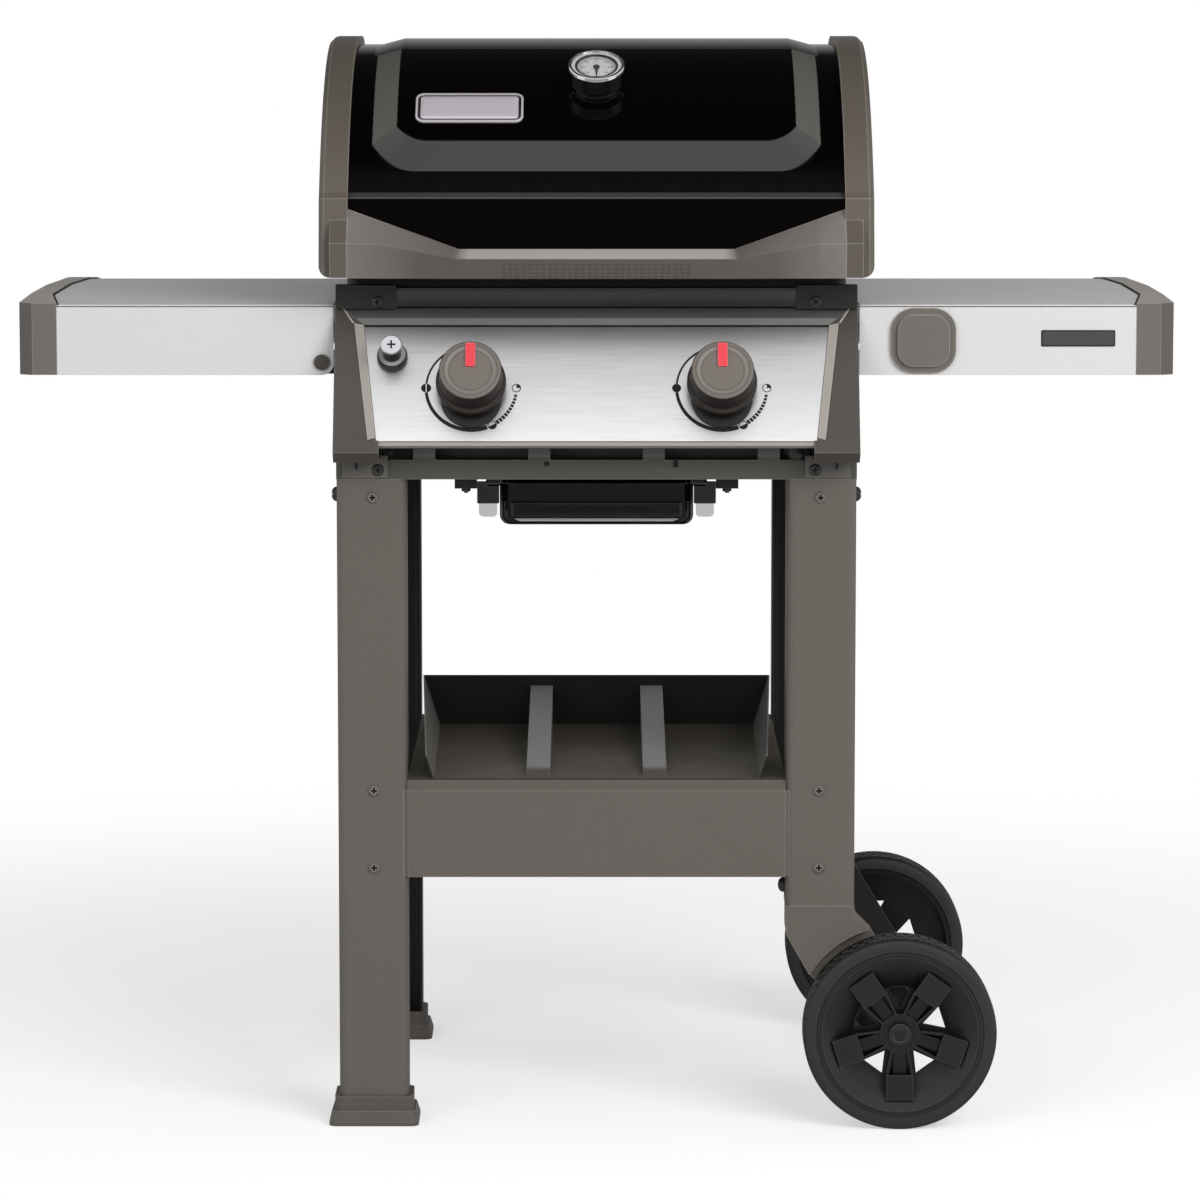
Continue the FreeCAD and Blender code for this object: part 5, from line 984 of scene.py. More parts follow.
def on_spots(shape_mesh, spots, make):
    """Copies of a mesh at (place, +Z direction) spots."""
    seed = bpy.data.objects.new("seed", shape_mesh)
    carrier = bpy.data.meshes.new("spots")
    carrier.from_pydata([place for place, _ in spots], [], [])
    turns = carrier.attributes.new("turn", "FLOAT_VECTOR", "POINT")
    for at, (_, direction) in enumerate(spots):
        turns.data[at].vector = direction.to_track_quat("Z", "Y").to_euler()
    mesh = grow(carrier, spot_tree, Shape=seed, Finish=finish(make))
    bpy.data.objects.remove(seed)
    return mesh


# ---- what a user may change --------------------------------------------------------------------


LENGTH = {"subtype": "DISTANCE", "unit": "LENGTH"}


class GrillSizes(bpy.types.PropertyGroup):
    """Sizes of the small parts that dress the grill."""

    lug_count: IntProperty(
        name="Tread lugs", description="Lugs in one row round a tyre", default=52, min=8, max=120
    )
    lug_height: FloatProperty(
        name="Lug height",
        description="How far a tread lug stands out of its groove",
        default=1.5 * MM,
        min=0.0,
        **LENGTH,
    )
    scale_radius: FloatProperty(
        name="Scale radius",
        description="Radius of the printed heat scale round a knob",
        default=47.0 * MM,
        min=0.0,
        **LENGTH,
    )
    plate_border: FloatProperty(
        name="Plate border",
        description="Width of the bright border round the lid's bare plate",
        default=2.2 * MM,
        min=0.0,
        **LENGTH,
    )
    grip_pitch: FloatProperty(
        name="Grip pitch",
        description="Distance from one grip block to the next along the handle",
        default=6.8 * MM,
        min=3.0 * MM,
        **LENGTH,
    )


class GrillColours(bpy.types.PropertyGroup):
    """The colour of the ground."""

    ground: FloatVectorProperty(
        name="Ground",
        description="Colour of the floor that the grill stands on",
        default=linear("#e2e2e2")[:3],
        size=3,
        min=0.0,
        max=1.0,
        subtype="COLOR",
    )


# ---- operators ---------------------------------------------------------------------------------


class GRILL_OT_finishes(bpy.types.Operator):
    """Give every frame piece its finish"""

    bl_idname = "grill.finishes"
    bl_label = "Finishes"

    def execute(self, context):
        missing = set(NODES) - {node for nodes in FINISHES.values() for node in nodes}
        if missing:
            raise RuntimeError(f"no finish for {sorted(missing)}")
        for make, nodes in FINISHES.items():
            for node in nodes:
                for spot in NODES[node].material_slots:
                    spot.material = finish(make)
        return {"FINISHED"}


class GRILL_OT_tyres(bpy.types.Operator):
    """Build both tyres with their tread lugs, and the caps over the axle's ends"""

    bl_idname = "grill.tyres"
    bl_label = "Tyres"

    def execute(self, context):
        sizes = context.scene.grill_sizes
        for end, out in (("front", -1), ("rear", 1)):
            low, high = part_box(f"tyre_{end}")
            rim_low, rim_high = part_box(f"rim_{end}")
            radius, half = (high.z - low.z) / 2, (high.y - low.y) / 2
            inner = (rim_high.z - rim_low.z) / 2
            wheel = Matrix.Translation((low + high) / 2) @ Matrix.Rotation(math.pi / 2, 4, "X")
            groove = radius - 0.2 * MM - sizes.lug_height
            flank = [
                (inner, half - 1.2 * MM),
                (inner + 1.2 * MM, half),
                (radius - 10 * MM, half),
                (radius - 4.4 * MM, half - 0.9 * MM),
                (radius - 1.5 * MM, half - 2.8 * MM),
                (radius - 0.3 * MM, half - 5.0 * MM),
                (radius - 0.3 * MM, half - 6.2 * MM),
                (groove, half - 7.4 * MM),
            ]
            profile = [(r, -z) for r, z in flank] + flank[::-1]
            pitch = 2 * math.pi * radius / sizes.lug_count
            row_width = (half - 7.4 * MM) * 2 / 3

            def bent(height, along, across):
                """A point over the groove, as seen from the groove's start."""
                turn = along / radius
                away = groove + height
                return Vector((away * math.cos(turn) - groove, away * math.sin(turn), across))

            def lug(shape):
                """One slanting lug in each of three rows, the middle one half a pitch on."""
                for row in (-1, 0, 1):
                    shift = pitch / 2 if row == 0 else 0.0
                    rings = []
                    for height, keep in ((-1.0 * MM, 1.0), (sizes.lug_height, 0.82)):
                        corners = [
                            (shift + pitch * (0.36 * keep * u + 0.12 * row * v), row + 0.42 * keep * v)
                            for u, v in level_rect(1, 1)
                        ]
                        rings.append([bent(height, u, v * row_width) for u, v in corners])
                    join_rings(shape, rings)

            lugs = grow(
                mesh_of(lug),
                ring_tree,
                Count=sizes.lug_count,
                Step=2 * math.pi / sizes.lug_count,
                Radius=groove,
                Finish=finish(tyre_rubber),
            )

            def tyre(shape):
                revolved(shape, profile, 144)
                shape.from_mesh(lugs)
                bmesh.ops.transform(shape, matrix=wheel, verts=shape.verts)

            tread = piece(f"tread_{end}", tyre, tyre_rubber, f"{end}_wheel", 30)
            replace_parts(tread, f"tyre_{end}")

            axle_low, axle_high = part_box("axle")
            tip = axle_low.y if out < 0 else axle_high.y
            rest = Vector(JOINTS[f"{end}_wheel_turn"]["pos_m"])
            hub = facing((rest.x, tip + out * 0.3 * MM, rest.z), BACK * out)

            def cap(shape):
                dome = in_mm((0, 0), (11.6, 0), (11.6, 1), (10.6, 1.8), (8.4, 1.8), (7.8, 1.3))
                dome += in_mm((7, 1.4), (5.4, 2.3), (2.8, 2.8), (0, 2.9))
                revolved(shape, dome, 40, hub, closed=False)

            piece(f"hub_cap_{end}", cap, rim_plastic, f"{end}_wheel")
        return {"FINISHED"}


class GRILL_OT_knob_scales(bpy.types.Operator):
    """Print the heat scale round each knob and set the knob's skirt inside it"""

    bl_idname = "grill.knob_scales"
    bl_label = "Knob scales"

    def execute(self, context):
        radius = context.scene.grill_sizes.scale_radius
        ink, dot = 0.12 * MM, 4.8 * MM
        for hand in ("left", "right"):
            valve = JOINTS[f"{hand}_valve_turn"]
            place = facing(valve["pos_m"], valve["axis"])

            def marks(shape):
                def stroke(first, last, start_mm, stop_mm, count):
                    line = arc(radius, first, last, count)
                    widths = [
                        (start_mm + (stop_mm - start_mm) * at / count) * MM for at in range(count + 1)
                    ]
                    ribbon(shape, line, widths, 0.0, ink, place)

                def ring(middle, size, width):
                    line = arc(size - width / 2, 0, 360, 32, middle)[:-1]
                    ribbon(shape, line, [width] * len(line), 0.0, ink, place, closed=True)

                stroke(174, 90, 2.1, 2.1, 24)
                stroke(186, 291, 3.2, 4.8, 40)
                for at in range(10):
                    turn = 306 + at * 4.8
                    wide = 4.6 - at * 0.18
                    stroke(turn - 1.8, turn + 1.8, wide, wide, 3)
                gap = 0.5 * MM if hand == "left" else -0.1 * MM
                for side in (-1, 1):
                    centre = (-radius + side * gap, 0.0)
                    slab(shape, arc(dot, side * 90, side * 90 - 180, 16, centre), 0.0, ink, place)
                full = (radius, 0.0)
                ring(full, dot, 0.9 * MM)
                slab(shape, [full] + arc(dot * 0.86, 0, 90, 8, full), 0.0, ink, place)
                turn = math.radians(298)
                half = (radius * math.cos(turn), radius * math.sin(turn))
                ring(half, dot, 0.9 * MM)
                slab(shape, arc(dot * 0.86, 298 - 90, 298 + 90, 16, half), 0.0, ink, place)

            piece(f"knob_scale_{hand}", marks, screen_ink, "cart")

            # the skirt is black and reaches down under the knob, where it also stands in for the knob's
            # shade
            def skirt(shape):
                drop, wide = 13.0 * MM, 32.0 * MM
                rings = []
                for height, draw_in in ((0, 0), (1.6, 0), (2.4, 0.6), (2.8, 1.6)):
                    size = wide - draw_in * MM
                    line = arc(size, 0, 180, 24) + arc(size, 180, 360, 24, (0, -drop))
                    rings.append([place @ Vector((u, v, height * MM)) for u, v in line])
                join_rings(shape, rings)

            piece(f"knob_skirt_{hand}", skirt, black_nylon, "cart")
        return {"FINISHED"}


class GRILL_OT_panel_trim(bpy.types.Operator):
    """Fit the pale strips and hem, which are painted highlights, and the lip and the seam round
    the panel
    """

    bl_idname = "grill.panel_trim"
    bl_label = "Panel trim"

    def execute(self, context):
        face = panel_frame()
        back = face.inverted()
        corners = [back @ vertex.co for vertex in NODES["panel_top"].data.vertices]
        foot, crown = min(p.y for p in corners), max(p.y for p in corners)
        half_foot = max(p.x for p in corners if p.y < foot + 1 * MM)
        half_crown = max(p.x for p in corners if p.y > crown - 1 * MM)
        proud = max(p.z for p in corners)
        ends = [back @ vertex.co for vertex in NODES["control_panel"].data.vertices]
        bottom = min(p.y for p in ends)
        half_bottom = min(abs(p.x) for p in ends if p.y < bottom + 2 * MM and abs(p.x) > 0.1)

        # pale strips along the panel's ends and their mitres: painted highlights on the bevels
        def strips(shape):
            for side in (-1, 1):
                outline = [
                    (side * (half_foot + 0.3 * MM), foot),
                    (side * (half_foot + 10.2 * MM), foot + 2.0 * MM),
                    (side * (half_bottom + 9.0 * MM), bottom + 0.5 * MM),
                    (side * (half_bottom + 1.0 * MM), bottom + 3.0 * MM),
                ]
                slab(shape, outline, proud - 0.2 * MM, proud + 0.9 * MM, face, 0.5 * MM)
                mitre_highlight = [
                    (side * (half_foot + 10.0 * MM), foot + 2.2 * MM),
                    (side * (half_foot + 12.4 * MM), foot + 2.2 * MM),
                    (side * half_crown, crown - 1.2 * MM),
                    (side * (half_crown - 1.4 * MM), crown - 1.2 * MM),
                ]
                slab(shape, mitre_highlight, proud - 0.2 * MM, proud + 0.3 * MM, face)

        def lip(shape):
            rise = 7.4 * MM
            lean = (half_crown - half_foot) * rise / (crown - foot)
            outline = level_bar(half_foot, foot + 0.2 * MM, foot + rise)
            outline[2:] = [(half_foot + lean, foot + rise), (-half_foot - lean, foot + rise)]
            slab(shape, outline, proud - 0.2 * MM, proud + 0.6 * MM, face)

        def seam(shape):
            outline = level_bar(half_foot - 0.5 * MM, foot - 1.1 * MM, foot)
            slab(shape, outline, 0.0, 0.35 * MM, face)

        # the hem in the same pale nylon: a painted highlight along the panel's lower edge
        def hem(shape):
            outline = level_bar(half_bottom + 3 * MM, bottom - 5.0 * MM, bottom - 1.2 * MM)
            slab(shape, outline, -6 * MM, 0.9 * MM, face, 0.5 * MM)

        def hem_groove(shape):
            outline = level_bar(half_bottom + 1 * MM, bottom - 1.4 * MM, bottom + 0.2 * MM)
            slab(shape, outline, -5 * MM, 0.3 * MM, face)

        for name, build, make in (
            ("panel_strips", strips, trim_nylon),
            ("panel_lip", lip, lip_nylon),
            ("panel_seam", seam, seam_shadow),
            ("panel_hem", hem, trim_nylon),
            ("panel_hem_groove", hem_groove, seam_shadow),
        ):
            piece(name, build, make, "cart")
        return {"FINISHED"}


class GRILL_OT_plates(bpy.types.Operator):
    """Fit the bare plates on the lid and on the right table's apron"""

    bl_idname = "grill.plates"
    bl_label = "Bare plates"

    def execute(self, context):
        border = context.scene.grill_sizes.plate_border
        lid = surface_of("lid_shell")
        gauge = Vector(JOINTS["pointer_turn"]["pos_m"])
        seat = Vector((-133.2 * MM, -1, gauge.z - 21 * MM))
        hit, _, _, _ = lid.ray_cast(seat, BACK)
        if hit is None:
            raise RuntimeError("the lid plate finds no lid behind it")
        out = (hit - Vector((hit.x, BARREL_MIDDLE.y, BARREL_MIDDLE.z))).normalized()
        angle = math.atan2(out.z, -out.y)
        surface = BARREL_RADIUS + FIELD_RISE

        def bent(u, v, rise):
            """A point on the lid's barrel: u along it, v round it, raised from it."""
            turn = angle + v / surface
            away = surface + rise
            return BARREL_MIDDLE + Vector((hit.x + u, -away * math.cos(turn), away * math.sin(turn)))

        half_u, half_v, corner = 56.5 * MM, 23.5 * MM, 9 * MM

        def rings(steps):
            made = []
            for inset, rise in steps:
                outline = rounded(half_u - inset, half_v - inset, max(corner - inset, 1 * MM))
                made.append([bent(u, v, rise * MM) for u, v in outline])
            return made

        def frame_bar(shape):
            steps = [(0, -0.5), (0, 1.9), (0.6 * MM, 2.4), (border, 2.4), (border + 0.3 * MM, -0.5)]
            join_rings(shape, rings(steps), closed=True)

        def groove(shape):
            inner = border + 3.2 * MM
            steps = [(border, -0.5), (border, 0.9), (inner, 0.9), (inner, -0.5)]
            join_rings(shape, rings(steps), closed=True)

        def field(shape):
            inset = border + 3.0 * MM
            steps = [(inset, -0.5), (inset, 1.6), (inset + 0.6 * MM, 2.0)]
            steps += [(inset + 6 * MM, 2.0), (inset + 12 * MM, 2.0), (inset + 17 * MM, 2.0)]
            join_rings(shape, rings(steps))

        piece("lid_plate_border", frame_bar, pewter, "lid")
        piece("lid_plate_groove", groove, seam_shadow, "lid")
        piece("lid_plate_field", field, pewter, "lid")

        low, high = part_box("table_right")
        cap_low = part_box("table_cap_right")[0]
        wide, tall = 38.8 * MM, 8.6 * MM
        middle = (cap_low.x - 22 * MM - wide, low.y, high.z - 35.4 * MM)
        apron = facing(middle, -BACK)

        def plate(shape):
            slab(shape, rounded(wide, tall, 1.6 * MM, 4), -0.5 * MM, 1.0 * MM, apron, 0.4 * MM)

        def inlay(shape):
            edge = 1.1 * MM
            slab(shape, rounded(wide - edge, tall - edge, 1.0 * MM, 4), 0.8 * MM, 1.15 * MM, apron)

        piece("apron_plate", plate, recess_black, "cart")
        piece("apron_inlay", inlay, plate_enamel, "cart")
        return {"FINISHED"}


class GRILL_OT_gauge(bpy.types.Operator):
    """Build the thermometer's inner rings and print its scale"""

    bl_idname = "grill.gauge"
    bl_label = "Thermometer"

    def execute(self, context):
        gauge = JOINTS["pointer_turn"]
        base = facing(gauge["pos_m"], -Vector(gauge["axis"]))
        plate = reach("thermometer_dial", base)
        needle = reach("thermometer_pointer", base)
        glass = reach("thermometer_lens", base) - 0.8 * MM
        low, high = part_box("thermometer_dial")
        wide = (high.x - low.x) / 2
        open_radius = 20.0 * MM

        def bright_ring(shape):
            loop = [(wide, needle + 0.3 * MM), (wide, glass - 0.1 * MM)]
            loop += [(wide - 1.0 * MM, glass - 0.1 * MM), (22.6 * MM, needle + 0.8 * MM)]
            loop += [(22.6 * MM, needle + 0.3 * MM)]
            revolved(shape, loop, 72, base)

        # a black ring inside the bezel: painted shade over the dial's edge
        def dark_ring(shape):
            loop = [(22.8 * MM, needle + 0.2 * MM), (22.8 * MM, needle + 0.9 * MM)]
            loop += [(22.0 * MM, needle + 0.9 * MM), (open_radius, needle + 0.4 * MM)]
            loop += [(open_radius, needle + 0.2 * MM)]
            revolved(shape, loop, 72, base)

        piece("gauge_bright_ring", bright_ring, chrome, "lid")
        piece("gauge_dark_ring", dark_ring, needle_paint, "lid")

        face = base @ Matrix.Translation((0, 0, plate))
        ink, first, sweep, marks = 0.08 * MM, 225, -270, 28
        tick_out = open_radius - 0.8 * MM

        def tick(shape):
            outline = in_mm((-1.8, -0.2), (0, -0.2), (0, 0.2), (-1.8, 0.2))
            slab(shape, outline, 0, ink, Matrix.Identity(4))

        ring = grow(
            mesh_of(tick),
            ring_tree,
            Count=marks + 1,
            Step=math.radians(sweep) / marks,
            Radius=tick_out,
            Finish=finish(screen_ink),
        )
        numbers = []
        for at in range(1, 8):
            text = bpy.data.curves.new(f"number_{at}", "FONT")
            text.body = str(at * 100)
            text.size = 3.4 * MM
            text.align_x = text.align_y = "CENTER"
            text.extrude = ink / 2
            text.resolution_u = 2
            mesh = baked(stand(text.name, text))
            turn = math.radians(first + sweep * (at - 1) / 6)
            away = (tick_out - 4.6 * MM) * Vector((math.cos(turn), math.sin(turn), 0))
            mesh.transform(Matrix.Translation(away + Vector((0, 0, ink / 2))))
            numbers.append(mesh)

        def scale(shape):
            shape.from_mesh(ring)
            spin = Matrix.Rotation(math.radians(first), 3, "Z")
            bmesh.ops.rotate(shape, cent=(0, 0, 0), matrix=spin, verts=shape.verts)
            line = arc(tick_out - 2.0 * MM, first, first + sweep, 60)
            ribbon(shape, line, [0.3 * MM] * len(line), 0, ink, Matrix.Identity(4))
            for mesh in numbers:
                shape.from_mesh(mesh)
            bmesh.ops.transform(shape, matrix=face, verts=shape.verts)

        piece("dial_scale", scale, screen_ink, "lid")
        return {"FINISHED"}


def screw_spots(node):
    """Each screw of a node as (head radius, head height, seat, outward direction)."""
    shape = bmesh.new()
    shape.from_mesh(NODES[node].data)
    bmesh.ops.remove_doubles(shape, verts=shape.verts, dist=1e-5)
    left = set(shape.verts)
    spots = []
    while left:
        front = [left.pop()]
        island = []
        while front:
            vertex = front.pop()
            island.append(vertex.co.copy())
            for edge in vertex.link_edges:
                other = edge.other_vert(vertex)
                if other in left:
                    left.remove(other)
                    front.append(other)
        low = Vector([min(point[axis] for point in island) for axis in range(3)])
        high = Vector([max(point[axis] for point in island) for axis in range(3)])
        middle = (low + high) / 2
        # a head has more points than a shank, so the points' mean lies towards the head
        lean = sum(island, Vector()) / len(island) - middle
        along = max(range(3), key=lambda axis: abs(lean[axis]))
        sign = 1 if lean[along] > 0 else -1
        across = [axis for axis in range(3) if axis != along]
        wide = max(high[axis] - low[axis] for axis in across) / 2
        rim = [
            point[along]
            for point in island
            if math.hypot(*(point[axis] - middle[axis] for axis in across)) > wide * 0.95
        ]
        seat = middle.copy()
        seat[along] = min(rim) if sign > 0 else max(rim)
        direction = Vector()
        direction[along] = sign
        height = abs((high[along] if sign > 0 else low[along]) - seat[along])
        spots.append((wide, height, seat, direction))
    shape.free()
    return spots


def screw_head(wide, height):
    """A domed head with a cross recess, its underside at Z = 0."""

    def dome(shape):
        rows = 7
        line = [(0.0, -1.0 * MM), (wide * 0.6, -1.0 * MM), (wide * 0.6, 0.0), (wide, 0.0)]
        for at in range(rows + 1):
            turn = math.radians(90) * at / rows
            line.append((wide * math.cos(turn), height * (0.14 + 0.86 * math.sin(turn))))
        revolved(shape, line, 32, closed=False)

    def cross(shape):
        arm, thick = wide * 0.72, wide * 0.19
        for half_u, half_v in ((arm, thick), (thick, arm)):
            keep_u, keep_v = (0.6, 1.0) if half_u > half_v else (1.0, 0.6)
            tapered(shape, half_u, half_v, ((height * 0.4, keep_u, keep_v), (height * 1.3, 1, 1)))

    head, cutter = stand("head", mesh_of(dome)), stand("cutter", mesh_of(cross))
    cut = head.modifiers.new("cut", "BOOLEAN")
    cut.object = cutter
    cut.operation = "DIFFERENCE"
    cut.solver = "EXACT"
    cut.use_self = True
    mesh = baked(head)
    bpy.data.objects.remove(cutter)
    return mesh


class GRILL_OT_screws(bpy.types.Operator):
    """Build the cross-recessed screws in place of the plain ones, and the loose nuts and bolts"""

    bl_idname = "grill.screws"
    bl_label = "Screws"

    def execute(self, context):
        found = screw_spots("cart_screws")
        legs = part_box("leg_front_left")[1].z
        heads = {}
        for wide, height, seat, direction in found:
            coated = abs(direction.y) > 0.5 and seat.z < legs
            key = (round(wide / MM, 1), round(height / MM, 1), bolt_coat if coated else black_zinc)
            heads.setdefault(key, []).append((seat, direction))
        order = sorted(heads, key=lambda key: (*key[:2], key[2].__name__))
        for number, (wide, height, make) in enumerate(order):
            places = heads[wide, height, make]
            mesh = on_spots(screw_head(wide * MM, height * MM), places, make)
            name = f"{make.__name__}_heads_{number}"
            thing = piece(name, mesh, make, "cart", 40)
            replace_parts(thing, "cart_screws")

        # black crosses laid in the recesses: painted shade
        def cross(shape):
            outline = cross_outline(4.4 * MM, 1.1 * MM)
            slab(shape, outline, 0.6 * MM, 1.5 * MM, Matrix.Identity(4))

        spots = [(seat, direction) for _, _, seat, direction in found]
        recess_shade_crosses = on_spots(mesh_of(cross), spots, recess_black)
        piece("screw_recesses", recess_shade_crosses, recess_black, "cart")

        rails_low, rails_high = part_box("tray_rails")
        nut_x, nut_y = rails_high.x - 11.8 * MM, rails_low.y + 26 * MM
        nuts = [(Vector((side * nut_x, nut_y, HANGER_FLANGE)), -UP) for side in (-1, 1)]

        def nut(shape):
            line = in_mm((0, -0.2), (4.8, -0.2), (4.8, 3.2), (4.2, 3.8), (2.5, 3.8), (2.5, 5))
            revolved(shape, line + in_mm((2.1, 5.4), (0, 5.4)), 6, closed=False)

        nut_mesh = on_spots(mesh_of(nut), nuts, black_zinc)
        piece("hanger_nuts", nut_mesh, black_zinc, "cart")

        def leg_bolt(shape):
            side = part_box("leg_front_right")[0].x
            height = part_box("wheel_bracket_front")[1].z - 12 * MM
            place = facing((side, LEG_BOLT_DEPTH, height), -RIGHT + UP * 1e-6)
            line = in_mm((0, -0.5), (8, -0.5), (8, 1.4), (7.4, 4), (5.6, 6), (3, 7), (0, 7.4))
            revolved(shape, line, 32, place, closed=False)

        piece("bracket_bolt", leg_bolt, black_zinc, "cart")
        return {"FINISHED"}


class GRILL_OT_slots(bpy.types.Operator):
    """Lay black slabs as painted shade where small slots sit in the front rail and its ears"""

    bl_idname = "grill.slots"
    bl_label = "Rail slots"

    def execute(self, context):
        rail_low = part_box("cross_rails")[0]
        rail = facing((0, rail_low.y, 0), -BACK)
        ear = facing((0, EAR_FACE, 0), -BACK)
        level = rail_low.z + 16.5 * MM

        def slots(shape):
            for x, tall in ((-52 * MM, 2.4 * MM), (83 * MM, 3.8 * MM)):
                outline = rounded(2.7 * MM, tall, 1.2 * MM, 4, (x, level))
                slab(shape, outline, -0.3 * MM, 0.2 * MM, rail)
            for x in (-251.5 * MM, 251.5 * MM):
                outline = rounded(1.1 * MM, 4.2 * MM, 1.0 * MM, 4, (x, level - 2 * MM))
                slab(shape, outline, -0.3 * MM, 0.2 * MM, ear)

        piece("rail_slots", slots, recess_black, "cart")
        return {"FINISHED"}


class GRILL_OT_handle_grip(bpy.types.Operator):
    """Set the rows of small grip blocks along the handle"""

    bl_idname = "grill.handle_grip"
    bl_label = "Handle grip"

    def execute(self, context):
        pitch = context.scene.grill_sizes.grip_pitch
        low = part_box("lid_handle")[0]
        handle = surface_of("lid_handle")
        rows, rise, length = 4, 4.3 * MM, 200 * MM
        columns = int(length / pitch)
        spots = []
        for row in range(rows):
            for column in range(columns):
                x = (column - (columns - 1) / 2) * pitch
                z = low.z + 2.6 * MM + rise * row
                hit, normal, _, _ = handle.ray_cast(Vector((x, low.y - 0.1, z)), BACK)
                if hit is not None and normal.y < -0.3:
                    spots.append((hit, normal))

        def block(shape):
            tapered(shape, pitch * 0.34, rise * 0.36, ((-0.3 * MM, 1, 1), (0.6 * MM, 0.82, 0.7)))

        mesh = on_spots(mesh_of(block), spots, grip_nylon)
        piece("handle_grip", mesh, grip_nylon, "lid")
        return {"FINISHED"}


class GRILL_OT_igniter_mark(bpy.types.Operator):
    """Set the cross mark into the igniter's cap"""

    bl_idname = "grill.igniter_mark"
    bl_label = "Igniter mark"

    def execute(self, context):
        place = igniter_place()
        top = reach("igniter_button", place)
        low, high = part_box("igniter_button")
        half = (high.x - low.x) / 2

        def mark(shape):
            outline = cross_outline(half * 0.42, half * 0.09)
            slab(shape, outline, top - 0.3 * MM, top + 0.12 * MM, place)

        piece("igniter_cross", mark, screen_ink, "igniter")
        return {"FINISHED"}


class GRILL_OT_table_seams(bpy.types.Operator):
    """Lay the dark seams along the tables and the gaskets inside their end caps"""

    bl_idname = "grill.table_seams"
    bl_label = "Table seams"

    def execute(self, context):
        for hand, side, body in (("left", -1, "left_table"), ("right", 1, "cart")):
            low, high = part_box(f"table_{hand}")
            cap_low, cap_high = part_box(f"table_cap_{hand}")
            cap = surface_of(f"table_cap_{hand}")
            inner = low.x if side > 0 else high.x
            cap_edge = cap_low.x if side > 0 else cap_high.x
            apron = facing((0, low.y, 0), -BACK)

            def seam(shape):
                line = [(inner, high.z - 2.2 * MM), (cap_edge, high.z - 2.2 * MM)]
                ribbon(shape, line, [1.1 * MM] * 2, -0.3 * MM, 0.15 * MM, apron)

            piece(f"table_seam_{hand}", seam, soft_seam, body)

            line = []
            level = (high.z + cap_high.z) / 2
            steps = 28
            for at in range(steps + 1):
                y = low.y + 1 * MM + (high.y - low.y - 2 * MM) * at / steps
                start = Vector((inner, y, level))
                hit, _, _, _ = cap.ray_cast(start, RIGHT * side)
                if hit is not None:
                    line.append((hit.x - side * 1.4 * MM, y))
            top = Matrix.Translation((0, 0, high.z))

            def gasket(shape):
                widths = [2.4 * MM] * len(line)
                ribbon(shape, line, widths, -0.3 * MM, 0.4 * MM, top)

            piece(f"cap_gasket_{hand}", gasket, seam_shadow, body)
        return {"FINISHED"}


